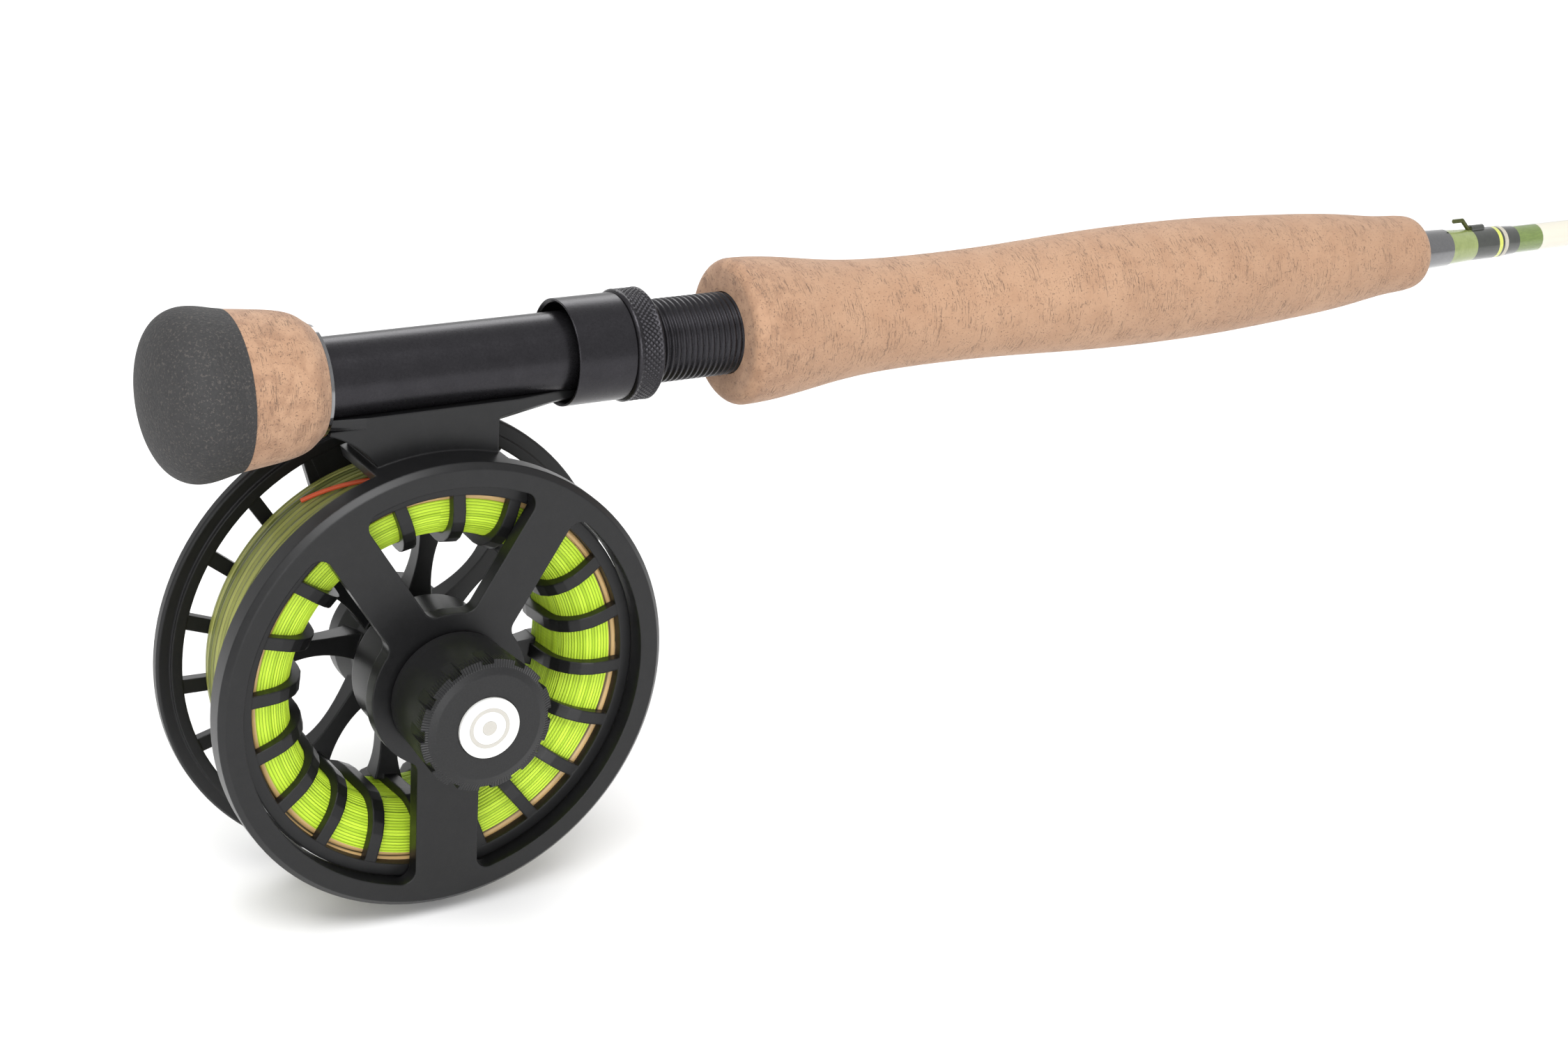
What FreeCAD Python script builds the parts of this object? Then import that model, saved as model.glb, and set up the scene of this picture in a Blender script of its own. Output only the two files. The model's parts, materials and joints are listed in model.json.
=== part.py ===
"""Fly-fishing rod with its reel: cork grip, down-locking reel seat, skeleton reel, four-piece blank.

Millimetres.  X runs along the rod from butt to tip, Z is up, and Y is parallel to the reel's spindle,
with the drag knob on the -Y side.  The origin is on the rod's axis at the middle of the cork grip,
where the hand holds it.
"""
import FreeCAD
import Part
import math
import os

V = FreeCAD.Vector

# ---- general clearances
SLIP = 0.02          # between glued or seated pieces of one body
RUNNING = 0.05       # radial clearance of a shaft that turns
FREE = 0.4           # between moving surfaces that never touch

# ---- cork grip
GRIP_LENGTH = 183.3
GRIP_FLARE_R = 14.75
GRIP_FLARE_ROUND = 2.5
GRIP_NOSE_R = 6.7
GRIP_NOSE_LENGTH = 8.0
GRIP_NOSE_TAPER = 0.86        # radius where the nose begins, over the last side radius
GRIP_SHOULDER_R = 8.5
GRIP_SHOULDER_AT = 0.30       # place of the shoulder over the nose length
GRIP_SIDE = ((0.075, 13.9), (0.14, 12.3), (0.24, 11.45), (0.355, 11.75), (0.485, 12.8),
             (0.60, 13.1), (0.66, 12.95), (0.78, 11.9), (0.885, 10.4))

# ---- reel seat
BARREL_R = 8.0
BARREL_WALL = 1.2
BARREL_EXPOSED = 87.5        # from the butt cork's face to the grip's face
BARREL_IN_GRIP = 6.0
BARREL_IN_BUTT = 10.6
THREAD_RISE = 0.3            # thread's crest over the barrel
THREAD_DEPTH = 0.5
THREAD_PITCH = 1.25
THREAD_CREST_FROM = 0.25     # shares of a pitch
THREAD_CREST_TO = 0.50
THREAD_ROOT_FROM = 0.85
THREAD_LENGTH = 25.0         # exposed length, up to the grip's face
BUSHING_WIDTH = 6.0
BUSHING_COUNT = 3

# ---- butt: cork ring and rubber-cork pad
BUTT_CORK_LENGTH = 15.8
BUTT_CORK_R = 14.95
BUTT_PAD_LENGTH = 15.9
BUTT_PAD_R = 16.05
BUTT_PAD_SIDE = ((0.04, 0.37), (0.13, 0.68), (0.30, 0.91), (0.52, 1.0), (0.77, 0.983))
BUTT_CORK_SIDE = ((0.35, 0.96), (0.66, 0.91), (0.84, 0.843), (0.955, 0.755))
PAD_OVER_CORK = 0.1
CORK_OVER_HOOD = 0.45        # cork's end face round the fixed hood
TANG_THICKNESS = 1.2         # reel foot's thin ends, over the barrel
FIXED_HOOD_CLEARANCE = 0.3   # tang to the fixed hood
FIXED_HOOD_WALL = 0.6
FIXED_HOOD_FLOOR = 1.0
FIXED_HOOD_LIP_RISE = 0.5
FIXED_HOOD_LIP = 1.0
FIXED_HOOD_LIP_FLAT = 0.6    # flat share of the lip
FIXED_HOOD_MOUTH = 0.2
TANG_CLEARANCE = 0.05        # foot's rear tang inside the fixed hood

# ---- sliding hood and locking nut
HOOD_WALL = 0.75
HOOD_LENGTH = 12.4
HOOD_FROM_REEL = 27.8        # hood's mouth, measured from the reel's spindle
HOOD_POCKET_CLEARANCE = 0.55 # tang to the sliding hood
HOOD_POCKET_DEPTH = 9.0
HOOD_MOUTH_CHAMFER = 0.5
HOOD_EDGE = 0.1
NUT_RISE = 0.6               # nut over the hood
NUT_LENGTH = 5.8
NUT_GAP = 0.2
NUT_CHAMFER = 0.5
SEAT_BORE_CLEARANCE = 0.15   # hood and nut bores over the thread's crest

# ---- reel foot and stem
REEL_FROM_BUTT_CORK = 22.4   # spindle, measured from the butt cork's face
STEM_HEIGHT = 14.2           # rod axis to the top of the reel's ring
FOOT_HALF_LENGTH = 31.5
FOOT_HALF_WIDTH = 7.5
FOOT_END_HALF_WIDTH = 4.8
FOOT_MID_THICKNESS = 3.6
FOOT_THIN_AT = 0.72          # where the rear tang begins, over half the foot
FOOT_WIDE_SHARE = 1.3        # full width this far beyond the stem
TANG_REAR_RISE = 0.1
TANG_FRONT_RISE = 0.25
TANG_FRONT_GAP = 2.0
FOOT_EDGE_DROP = 5.7         # top edge of the foot's sides, below the rod's axis
STEM_FRONT = 12.6
STEM_BACK = 11.0
STEM_RAMP = 13.0
STEM_RAMP_SAG = 1.4
STEM_INTO_FOOT = 2.0
STEM_INTO_RING = 8.0
STEM_RAMP_LOW = 1.5
STEM_BORE_RISE = 0.8

# ---- reel frame
FRAME_R = 46.0
RING_WIDTH = 4.7
FRAME_FRONT_Y = -15.2
FRAME_THICKNESS = 5.0
SPOKE_THICKNESS = 3.2        # thinner than the ring, so the spool's near rim sits behind them
FRAME_CHAMFER = 1.1
BOSS_R = 16.0
SPOKE_HALF_ANGLE = 32.5      # upper spokes, either side of straight up
UPPER_SPOKE_WIDTH = 9.2
LOWER_SPOKE_WIDTH = 13.0
WINDOW_ROUND = 2.6
DOWN = 270                   # degrees about the spindle; up is 90
BRIDGE_WALL = 2.4
BRIDGE_HALF_ANGLE = 17.0
BRIDGE_BACK_Y = 7.5
GUARD_HALF_ANGLE = 7.0
GUARD_BACK_Y = 11.8
HOUSING_R = 14.6
HOUSING_BORE_R = 12.8
HOUSING_BACK_Y = -1.75
BOSS_FLOOR = 3.0

# ---- drag
SPINDLE_R = 3.0
SPINDLE_FLANGE_R = 5.0
SPINDLE_FLANGE = 1.2
SPINDLE_FRONT_Y = -28.0
SPINDLE_BACK_Y = 12.8
SPINDLE_NUT_R = 5.5
SPINDLE_NUT_HEIGHT = 2.8
DRAG_TRAVEL = 0.6
PRESSURE_PLATE = 1.2
PRESSURE_PLATE_Y = -10.6
PLATE_BORE_R = 5.6
PIN_R = 1.2
PIN_CIRCLE_R = 8.5
PIN_COUNT = 3
SPRING_WASHER = 1.2
WASHER_BORE_GAP = 0.2
WASHER_RIM_GAP = 1.2
WASHER_CONE = 0.45
DISC_BORE_R = 6.0
DISC_R = 12.4
DISC_THICKNESS = 0.8
ROTOR_PLATE = 1.2
ROTOR_RIM_GAP = 0.2
ROTOR_SLEEVE_R = 5.5
ROTOR_BACK_Y = 5.6
STACK_GAP = 0.05
COVER_THICKNESS = 1.9
SEAL_R = 7.0
SEAL_WIDTH = 1.1
COVER_RING = 0.58
COVER_RING_BITE = 0.5
COVER_RING_GROOVE = 0.55
COVER_RING_WIDTH = 1.4

# ---- drag knob
KNOB_BASE_R = 12.6
KNOB_FACE_R = 13.4
KNOB_BASE_Y = -16.2
KNOB_STRAIGHT = 2.3
KNOB_FACE_Y = -32.6
KNOB_WALL = 1.4
KNOB_BEVEL = 2.8             # sloped rim of the face: radial, then along Y
KNOB_EDGE = 1.0
KNOB_SKIRT_R = 10.0
KNOB_SKIRT_BORE_R = 7.2
KNOB_SKIRT_Y = -17.1
KNOB_CAVITY_Y = -29.6
KNOB_NOTCHES = 12
KNOB_NOTCH_WIDTH = 2.4
KNOB_NOTCH_DEPTH = 0.8
KNOB_NOTCH_LENGTH = 9.0
BUSH_R = 5.0
BUSH_Y = -19.0
MEDALLION_R = 6.1
MEDALLION_GAP = 0.1
MEDALLION_SEAT = 0.8
MEDALLION_PROUD = 0.5

# ---- spool
RIB_COUNT = 20
RIB_FAR_PHASE = 5.0          # degrees, first rib at the far rim
RIB_TWIST = 9.0              # degrees, from the far rim to the near rim
RIB_THICKNESS = 1.9
RIB_INTO_NEAR_RIM = 1.1
RIB_INTO_FAR_RIM = 1.2
RIB_NEAR_WIDTH = 2.5
RIB_FAR_WIDTH = 3.0
ARBOR_R = 27.2               # rib's centre line under the line
RIB_NEAR_Y = -10.6
RIB_FAR_Y = 14.6
RIB_NEAR_BEND = 8.0
RIB_FAR_BEND = 9.0
BEND_STEPS = (0, 15, 30, 45, 60, 75, 90)
NEAR_RIM_CLEARANCE = 0.4     # near rim inside the frame's ring
NEAR_RIM_WIDTH = 2.4
NEAR_RIM_HALF = 1.05
FAR_RIM_OVERHANG = 2.1       # far rim beyond the frame's ring
FAR_RIM_WIDTH = 4.9
FAR_RIM_LEDGE = 2.2
FAR_RIM_FRONT_Y = 13.0
FAR_RIM_STEP = 0.7
FAR_RIM_BACK_Y = 16.5
FAR_RIM_CHAMFER = 0.8
FAR_RIM_EDGE = 0.4
ARM_PAIRS = 4
ARM_HALF_ANGLE = 18.0
# stations of an arm: share of the arbor's radius, y, width, depth, share of the lean
ARM_STATIONS = ((0.324, 8.2, 6.4, 6.0, 0.0), (0.625, 7.4, 3.6, 3.6, 0.4),
                (0.853, 6.4, 4.0, 3.6, 0.8), (1.0, 6.0, 6.0, 4.6, 1.0))
ARM_LEAN = 3.8               # degrees, following the ribs
ARM_OFFSET = 36.0            # first pair of arms, before the handle
HANDLE_ANGLE = 95.0
HANDLE_INSET = 5.2           # post, inside the far rim
HANDLE_SECTOR_HALF = 18.0
SECTOR_WIDTH = 7.7
SECTOR_HALF = 1.1
HUB_FRONT_Y = -1.3
HUB_FRONT_R = 12.4
HUB_WAIST_R = 10.4
HUB_COLLAR = 1.6
HUB_FRONT_FLARE = 0.6
HUB_FRONT_TAPER = 2.2
HUB_WAIST_RISE = 0.5
HUB_WAIST_LENGTH = 3.0
HUB_BACK_BAND = 3.4
HUB_WAIST_Y = 4.5
HUB_BACK_R = 12.6
HUB_BACK_Y = 15.4
CLUTCH_R = 8.0
CLUTCH_FRONT_Y = -0.6
CLUTCH_POCKET_Y = 6.0
BEARING_R = 6.0
BEARING_FRONT_Y = 8.8
BEARING_BACK_Y = 12.2
BUTTON_POCKET_R = 5.6
HUB_CAP_R = 9.0
HUB_CAP_THICKNESS = 1.7
HUB_CAP_FLAT = 0.6
HUB_CAP_BEVEL = 0.7
BUTTON_R = 3.95
BUTTON_FLANGE_R = 5.2
BUTTON_FLANGE = 1.0
BUTTON_REST_GAP = 0.1
BUTTON_BEVEL = 0.4
BUTTON_BACK_Y = 18.7
BUTTON_SPRING_R = 5.0
BUTTON_SPRING_CLEARANCE = 0.5
BUTTON_SPRING = 0.8

# ---- handle and counterweight
POST_R = 2.0
POST_SHOULDER_R = 3.6
POST_SHOULDER = 0.8
POST_HEAD_R = 3.2
POST_HEAD = 1.2
POST_HEAD_FLAT = 0.6
POST_HEAD_BEVEL = 0.5
HANDLE_LENGTH = 22.0
HANDLE_BASE_BEVEL = 0.6
HANDLE_BASE_EDGE = 0.8
HANDLE_BASE_BAND = 2.4
HANDLE_RISE = 0.7
HANDLE_END_DROP = 0.7
HANDLE_END_BACK = 1.2
HANDLE_END_BEVEL = 2.2
HANDLE_BASE_R = 5.4
HANDLE_WAIST_R = 4.6
HANDLE_SWELL_R = 6.4
HANDLE_END_GAP = 0.2
HANDLE_WAIST_AT = 0.32       # shares of the handle's length
HANDLE_RISE_AT = 0.55
HANDLE_SWELL_AT = 0.835
COUNTERWEIGHT_R = 4.4
COUNTERWEIGHT_THICKNESS = 3.4

# ---- line on the spool
LINE_DEPTH = 2.3             # fly line over the backing
LINE_SHOULDER_DROP = 0.4
LINE_SHOULDER_AT = 4.0
LINE_LEVEL_AT = 10.0
LINE_GAP = 0.15              # line to the ribs
LINE_TO_BRIDGE = 4.3
LINE_NEAR_DROP = 0.4
LINE_FAR_DROP = 0.8
TAG_R = 0.45
TAG_RISE = 0.65              # tag's centre over the turns
TAG_ARC = 20.3
TAG_MIDDLE_ANGLE = 112.8
TAG_MIDDLE_Y = 4.4
TAG_SKEW = 26.6              # degrees across the turns

# ---- rod blank
ROD_LENGTH = 2743.0
BLANK_IN_PAD = 2.5
FERRULE_OVERLAP = 45.0
FERRULE_CLEARANCE = 0.03
SECTION_NAMES = ("butt", "lower_mid", "upper_mid", "tip")
SECTION_START_R = (3.6, 3.45, 2.6, 1.85)
SECTION_END_R = (2.8, 2.0, 1.35, 0.75)
SECTION_WALL = (1.0, 0.7, 0.55, 0.35)

# ---- trim ahead of the grip
CHECK_LENGTH = 10.2
CHECK_START_R = 4.65
CHECK_END_R = 4.35
OLIVE_WRAP_LENGTH = 8.0
OLIVE_WRAP_R = 4.1
DARK_WRAP_LENGTH = 7.0
DARK_WRAP_R = 3.75
ACCENT_LENGTH = 1.1
ACCENT_GAP = 0.7
ACCENT_R = 3.7
DARK_GAP_DROP = 0.05
TAIL_WRAP_DROP = 0.1
TAIL_WRAP_LENGTH = 4.0
KEEPER_WIRE_R = 0.5
KEEPER_HEIGHT = 2.3
KEEPER_LENGTH = 5.6
KEEPER_FOOT = 3.5
KEEPER_BED = 0.12            # thread between the blank and the keeper's foot

# ---- guides; stations are distances from the tip
STRIPPER_STATIONS = (2104.0, 1864.0)
STRIPPER_RING_R = (6.0, 5.0)
SNAKE_STATIONS = ((1644.0, 1424.0), (1189.0, 969.0, 764.0), (549.0, 389.0, 244.0, 119.0))
SNAKE_HEIGHT = ((5.6, 5.2), (4.8, 4.5, 4.2), (4.0, 3.8, 3.6, 3.4))
SNAKE_WIRE_R = 0.4
SNAKE_SPAN = 2.6             # loop length over loop height
SNAKE_SIDE_AT = 0.45         # where the wire is farthest to the side, over half the loop
SNAKE_TOP_AT = 0.18
SNAKE_TOP_SIDE = 0.8
SNAKE_TOP_SHARE = 0.88
SNAKE_FOOT = 4.0
STRIPPER_WIRE_R = 0.6
STRIPPER_WALL = 1.1
STRIPPER_RING_THICKNESS = 1.6
INSERT_WALL = 0.8
INSERT_THICKNESS = 2.2
STRIPPER_REACH = 14.0
STRIPPER_FOOT = 6.0
STRIPPER_LEG_ANGLE = 65.0    # where the legs meet the ring, from its top
STRIPPER_LEG_SHARE = 0.8     # leg wire over foot wire
STRIPPER_CLEAR = 2.6         # between blank and ring
WRAP_THICKNESS = 0.4         # thread and varnish
WRAP_MARGIN = 2.0
FERRULE_WRAP = 14.0
TIP_TUBE_LENGTH = 12.0
TIP_TUBE_WALL = 0.35
TIP_CAP = 1.0
TIP_RING_SINK = 0.3          # ring into the tube
TIP_STRUT_R = 0.35
TIP_STRUT_FROM = 4.0
TIP_RING_R = 2.3
TIP_RING_WALL = 0.8
TIP_RING_THICKNESS = 1.2

# ---- sizes that follow from the ones above
barrel_bore_r = BARREL_R - BARREL_WALL
thread_crest_r = BARREL_R + THREAD_RISE
tang_r = BARREL_R + TANG_THICKNESS
foot_mid_r = BARREL_R + FOOT_MID_THICKNESS
fixed_hood_inner_r = tang_r + FIXED_HOOD_CLEARANCE
fixed_hood_r = fixed_hood_inner_r + FIXED_HOOD_WALL
fixed_hood_lip_r = fixed_hood_r + FIXED_HOOD_LIP_RISE
hood_pocket_r = tang_r + HOOD_POCKET_CLEARANCE
hood_r = hood_pocket_r + HOOD_WALL
nut_r = hood_r + NUT_RISE
reel_drop = FRAME_R + STEM_HEIGHT
frame_window_r = FRAME_R - RING_WIDTH
bridge_inner_r = FRAME_R - BRIDGE_WALL
near_rim_r = frame_window_r - NEAR_RIM_CLEARANCE
near_rim_inner_r = near_rim_r - NEAR_RIM_WIDTH
far_rim_r = FRAME_R + FAR_RIM_OVERHANG
far_rim_inner_r = far_rim_r - FAR_RIM_WIDTH
far_rim_step_r = far_rim_inner_r + FAR_RIM_LEDGE
handle_circle_r = far_rim_inner_r - HANDLE_INSET
sector_inner_r = far_rim_inner_r - SECTOR_WIDTH
line_r = bridge_inner_r - LINE_TO_BRIDGE
line_near_r = line_r - LINE_NEAR_DROP
line_far_r = line_r - LINE_FAR_DROP
backing_r = line_r - LINE_DEPTH
tag_ring_r = line_r + TAG_RISE
button_spring_bore_r = SPINDLE_R + BUTTON_SPRING_CLEARANCE

# ---- places along the rod
grip_butt_x = -GRIP_LENGTH / 2
grip_nose_x = GRIP_LENGTH / 2
seat_butt_x = grip_butt_x - BARREL_EXPOSED
pad_x = seat_butt_x - BUTT_CORK_LENGTH
butt_end_x = pad_x - BUTT_PAD_LENGTH
reel_x = seat_butt_x + REEL_FROM_BUTT_CORK
tip_x = butt_end_x + ROD_LENGTH
hood_x = reel_x + HOOD_FROM_REEL
nut_x = hood_x + HOOD_LENGTH + NUT_GAP
blank_x = pad_x - BLANK_IN_PAD
tube_start_x = seat_butt_x - BARREL_IN_BUTT
tube_end_x = grip_butt_x + BARREL_IN_GRIP
seat_bore_r = thread_crest_r + SEAT_BORE_CLEARANCE

# ---- places along the spindle (Y)
boss_floor_y = FRAME_FRONT_Y + BOSS_FLOOR
frame_back_y = FRAME_FRONT_Y + FRAME_THICKNESS
spring_y = PRESSURE_PLATE_Y + PRESSURE_PLATE + DRAG_TRAVEL + STACK_GAP
front_disc_y = spring_y + SPRING_WASHER + STACK_GAP
rotor_y = front_disc_y + DISC_THICKNESS + STACK_GAP
back_disc_y = rotor_y + ROTOR_PLATE + STACK_GAP
cover_y = back_disc_y + DISC_THICKNESS + STACK_GAP
seal_y = cover_y + (COVER_THICKNESS - SEAL_WIDTH) / 2
cover_ring_y = cover_y + COVER_THICKNESS + STACK_GAP / 2
pack_side = RIB_THICKNESS / 2 + LINE_GAP
spoke_back_y = FRAME_FRONT_Y + SPOKE_THICKNESS

# ---- blank sections: start, end
section_length = (tip_x - blank_x + 3 * FERRULE_OVERLAP) / 4
section_start = [blank_x + i * (section_length - FERRULE_OVERLAP) for i in range(4)]

nodes = {}


def node(name, shape):
    """Keep one named sub-part; a group of separate solids is a compound."""
    nodes[name] = shape


# ------------------------------------------------------------------ helpers

def cylinder(radius, start, end):
    """Round bar between two points."""
    axis = end - start
    return Part.makeCylinder(radius, axis.Length, start, axis)


def bar_x(radius, x0, x1):
    return cylinder(radius, V(x0, 0, 0), V(x1, 0, 0))


def bar_y(radius, y0, y1, x=0.0, z=0.0):
    return cylinder(radius, V(x, y0, z), V(x, y1, z))


def box(x0, x1, y0, y1, z0, z1):
    return Part.makeBox(x1 - x0, y1 - y0, z1 - z0, V(x0, y0, z0))


def polygon(points):
    return Part.makePolygon(list(points) + [points[0]])


def lathe_x(points):
    """Turn a closed outline of (x, radius) points about the rod's axis."""
    face = Part.Face(polygon([V(x, 0, r) for x, r in points]))
    return face.revolve(V(0, 0, 0), V(1, 0, 0), 360)


def lathe_y(points, angle=360.0, start=0.0):
    """Turn a closed outline of (radius, y) points about the spindle, from +X towards +Z."""
    face = Part.Face(polygon([V(r, y, 0) for r, y in points]))
    turned = face.revolve(V(0, 0, 0), V(0, -1, 0), angle)
    return around_spindle(turned, start)


def ring_y(inner, outer, y0, y1):
    return lathe_y([(inner, y0), (outer, y0), (outer, y1), (inner, y1)])


def sector_y(inner, outer, y0, y1, middle, half):
    """Part of a ring about the spindle, centred on an angle in degrees."""
    outline = [(inner, y0), (outer, y0), (outer, y1), (inner, y1)]
    return lathe_y(outline, 2 * half, middle - half)


def around_spindle(shape, degrees):
    """Copy turned about the spindle; positive turns +X towards +Z."""
    turned = shape.copy()
    turned.rotate(V(0, 0, 0), V(0, -1, 0), degrees)
    return turned


def fuse(shapes):
    """Join shapes into one solid."""
    joined = shapes[0].multiFuse(shapes[1:]).removeSplitter()
    return joined.Solids[0] if len(joined.Solids) == 1 else joined


def to_reel(shape):
    """Move a piece drawn about the spindle to its place under the rod."""
    placed = shape.copy()
    placed.translate(V(reel_x, 0, -reel_drop))
    return placed


def polar(radius, degrees, y=0.0):
    angle = math.radians(degrees)
    return V(radius * math.cos(angle), y, radius * math.sin(angle))


def section_r(index, x):
    """Outer radius of a blank section at x."""
    share = (x - section_start[index]) / section_length
    return SECTION_START_R[index] + share * (SECTION_END_R[index] - SECTION_START_R[index])


def wire(points, radius):
    """Bent round wire: straight bars joined by balls."""
    pieces = [cylinder(radius, a, b) for a, b in zip(points, points[1:])]
    pieces += [Part.makeSphere(radius, p) for p in points[1:-1]]
    return fuse(pieces)


def spline_edge(points, first=None, last=None):
    """Smooth edge through (x, radius) points; end directions are optional."""
    curve = Part.BSplineCurve()
    vectors = [V(x, 0, r) for x, r in points]
    if first is None:
        curve.interpolate(vectors)
    else:
        curve.interpolate(Points=vectors, InitialTangent=first, FinalTangent=last)
    return curve.toShape()


def lathe_edges(edges):
    """Turn a closed chain of edges in the XZ plane about the rod's axis."""
    face = Part.Face(Part.Wire(edges))
    return face.revolve(V(0, 0, 0), V(1, 0, 0), 360)


def line_edge(a, b):
    return Part.LineSegment(V(a[0], 0, a[1]), V(b[0], 0, b[1])).toShape()


# ------------------------------------------------------------------ butt, seat and grip

def make_butt_pad():
    """Domed rubber-cork cap with rounded edges; the blank ends in its pocket."""
    x0, x1 = butt_end_x, pad_x
    side = [(x0, 0)]
    side += [(x0 + along * BUTT_PAD_LENGTH, share * BUTT_PAD_R) for along, share in BUTT_PAD_SIDE]
    side.append((x1, BUTT_CORK_R + PAD_OVER_CORK))
    outline = spline_edge(side, V(0, 0, 1), V(1, 0, -0.16))
    pad = lathe_edges([outline, line_edge(side[-1], (x1, 0)), line_edge((x1, 0), (x0, 0))])
    pocket = bar_x(section_r(0, blank_x) + SLIP, blank_x - SLIP, x1 + 1)
    node("butt_pad", pad.cut(pocket))


def make_butt_cork():
    """Cork ring between the pad and the seat, bored for the fixed hood and the blank."""
    x0, x1 = pad_x + SLIP, seat_butt_x
    side = [(x0, BUTT_CORK_R)]
    side += [(x0 + along * BUTT_CORK_LENGTH, share * BUTT_CORK_R) for along, share in BUTT_CORK_SIDE]
    side.append((x1, fixed_hood_r + CORK_OVER_HOOD))
    outline = spline_edge(side, V(1, 0, -0.1), V(0.2, 0, -1))
    cork = lathe_edges([outline, line_edge(side[-1], (x1, 0)), line_edge((x1, 0), (x0, 0)),
                        line_edge((x0, 0), side[0])])
    hood_pocket = bar_x(fixed_hood_r + SLIP, tube_start_x - FIXED_HOOD_FLOOR - SLIP, x1 + 1)
    blank_hole = bar_x(section_r(0, blank_x) + SLIP, x0 - 1, x1)
    node("butt_cork", cork.cut(hood_pocket.fuse(blank_hole)))


def make_fixed_hood():
    """Metal cup sunk in the butt cork; the foot's rear tang slips under its lip."""
    floor_x = tube_start_x - FIXED_HOOD_FLOOR
    inner = fixed_hood_inner_r
    lip_x = seat_butt_x + SLIP
    hole = section_r(0, blank_x) + SLIP
    node("fixed_hood", lathe_x([
        (floor_x, hole), (floor_x, fixed_hood_r), (lip_x, fixed_hood_r), (lip_x, fixed_hood_lip_r),
        (lip_x + FIXED_HOOD_LIP_FLAT * FIXED_HOOD_LIP, fixed_hood_lip_r),
        (lip_x + FIXED_HOOD_LIP, inner + FIXED_HOOD_MOUTH),
        (lip_x + FIXED_HOOD_LIP, inner), (tube_start_x, inner), (tube_start_x, hole)]))


def make_reel_seat_tube():
    """Seat barrel: smooth for the reel foot, threaded next to the grip."""
    thread_x = grip_butt_x - THREAD_LENGTH
    start = tube_start_x + SLIP
    outline = [(start, barrel_bore_r), (start, BARREL_R), (thread_x, BARREL_R)]
    turns = int((tube_end_x - thread_x) / THREAD_PITCH)
    for turn in range(turns):
        x = thread_x + turn * THREAD_PITCH
        outline.append((x + THREAD_CREST_FROM * THREAD_PITCH, thread_crest_r))
        outline.append((x + THREAD_CREST_TO * THREAD_PITCH, thread_crest_r))
        outline.append((x + THREAD_ROOT_FROM * THREAD_PITCH, thread_crest_r - THREAD_DEPTH))
    outline.append((tube_end_x, thread_crest_r - THREAD_DEPTH))
    outline.append((tube_end_x, barrel_bore_r))
    node("reel_seat_tube", lathe_x(outline))


def make_seat_bushings():
    """Spacer rings that centre the seat barrel on the blank."""
    rings = []
    room = tube_end_x - tube_start_x - BUSHING_WIDTH - 2
    for i in range(BUSHING_COUNT):
        x0 = tube_start_x + 1 + i * room / (BUSHING_COUNT - 1)
        x1 = x0 + BUSHING_WIDTH
        outer = barrel_bore_r - SLIP
        rings.append(lathe_x([(x0, section_r(0, x0) + SLIP), (x0, outer), (x1, outer),
                              (x1, section_r(0, x1) + SLIP)]))
    node("seat_bushings", Part.makeCompound(rings))


def make_cork_grip():
    """Cork handle: rounded flare at the seat, waist, swell and rounded nose."""
    x0, x1 = grip_butt_x, grip_nose_x
    counterbore = thread_crest_r + SLIP
    flare_top = GRIP_FLARE_R - GRIP_FLARE_ROUND
    corner = GRIP_FLARE_ROUND * math.sqrt(0.5)
    arc = Part.Arc(V(x0, 0, flare_top),
                   V(x0 + GRIP_FLARE_ROUND - corner, 0, flare_top + corner),
                   V(x0 + GRIP_FLARE_ROUND, 0, GRIP_FLARE_R)).toShape()
    side = [(x0 + GRIP_FLARE_ROUND, GRIP_FLARE_R)]
    side += [(x0 + share * GRIP_LENGTH, radius) for share, radius in GRIP_SIDE]
    side += [(x1 - GRIP_NOSE_LENGTH, GRIP_NOSE_TAPER * GRIP_SIDE[-1][1]),
             (x1 - GRIP_SHOULDER_AT * GRIP_NOSE_LENGTH, GRIP_SHOULDER_R), (x1, GRIP_NOSE_R)]
    outline = spline_edge(side, V(1, 0, 0), V(0.35, 0, -1))
    bore0, bore1 = section_r(0, x0) + SLIP, section_r(0, x1) + SLIP
    step_x = tube_end_x + SLIP
    chain = [(x1, GRIP_NOSE_R), (x1, bore1), (step_x, bore0), (step_x, counterbore), (x0, counterbore),
             (x0, flare_top)]
    edges = [arc, outline] + [line_edge(a, b) for a, b in zip(chain, chain[1:])]
    node("cork_grip", lathe_edges(edges))


def make_sliding_hood():
    """Hood that slides over the foot's front tang; deep round pocket, then a bore on the barrel."""
    x0, x1 = hood_x, hood_x + HOOD_LENGTH
    pocket_x = x0 + HOOD_POCKET_DEPTH
    node("sliding_hood", lathe_x([
        (x0, hood_pocket_r + HOOD_MOUTH_CHAMFER), (x0, hood_r - HOOD_EDGE), (x0 + HOOD_EDGE, hood_r),
        (x1, hood_r),
        (x1, seat_bore_r), (pocket_x, seat_bore_r), (pocket_x, hood_pocket_r),
        (x0 + HOOD_MOUTH_CHAMFER, hood_pocket_r)]))


def make_locking_nut():
    """Knurled ring on the thread; it drives the hood."""
    x0, x1 = nut_x, nut_x + NUT_LENGTH
    node("locking_nut", lathe_x([
        (x0, seat_bore_r), (x0, nut_r - NUT_CHAMFER), (x0 + NUT_CHAMFER, nut_r), (x1 - NUT_CHAMFER, nut_r),
        (x1, nut_r - NUT_CHAMFER), (x1, seat_bore_r)]))


# ------------------------------------------------------------------ trim ahead of the grip

def tube_on_blank(index, x0, x1, outer0, outer1):
    """Ring seated on a blank section, from x0 to x1."""
    return lathe_x([(x0, section_r(index, x0) + SLIP), (x0, outer0), (x1, outer1),
                    (x1, section_r(index, x1) + SLIP)])


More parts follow.
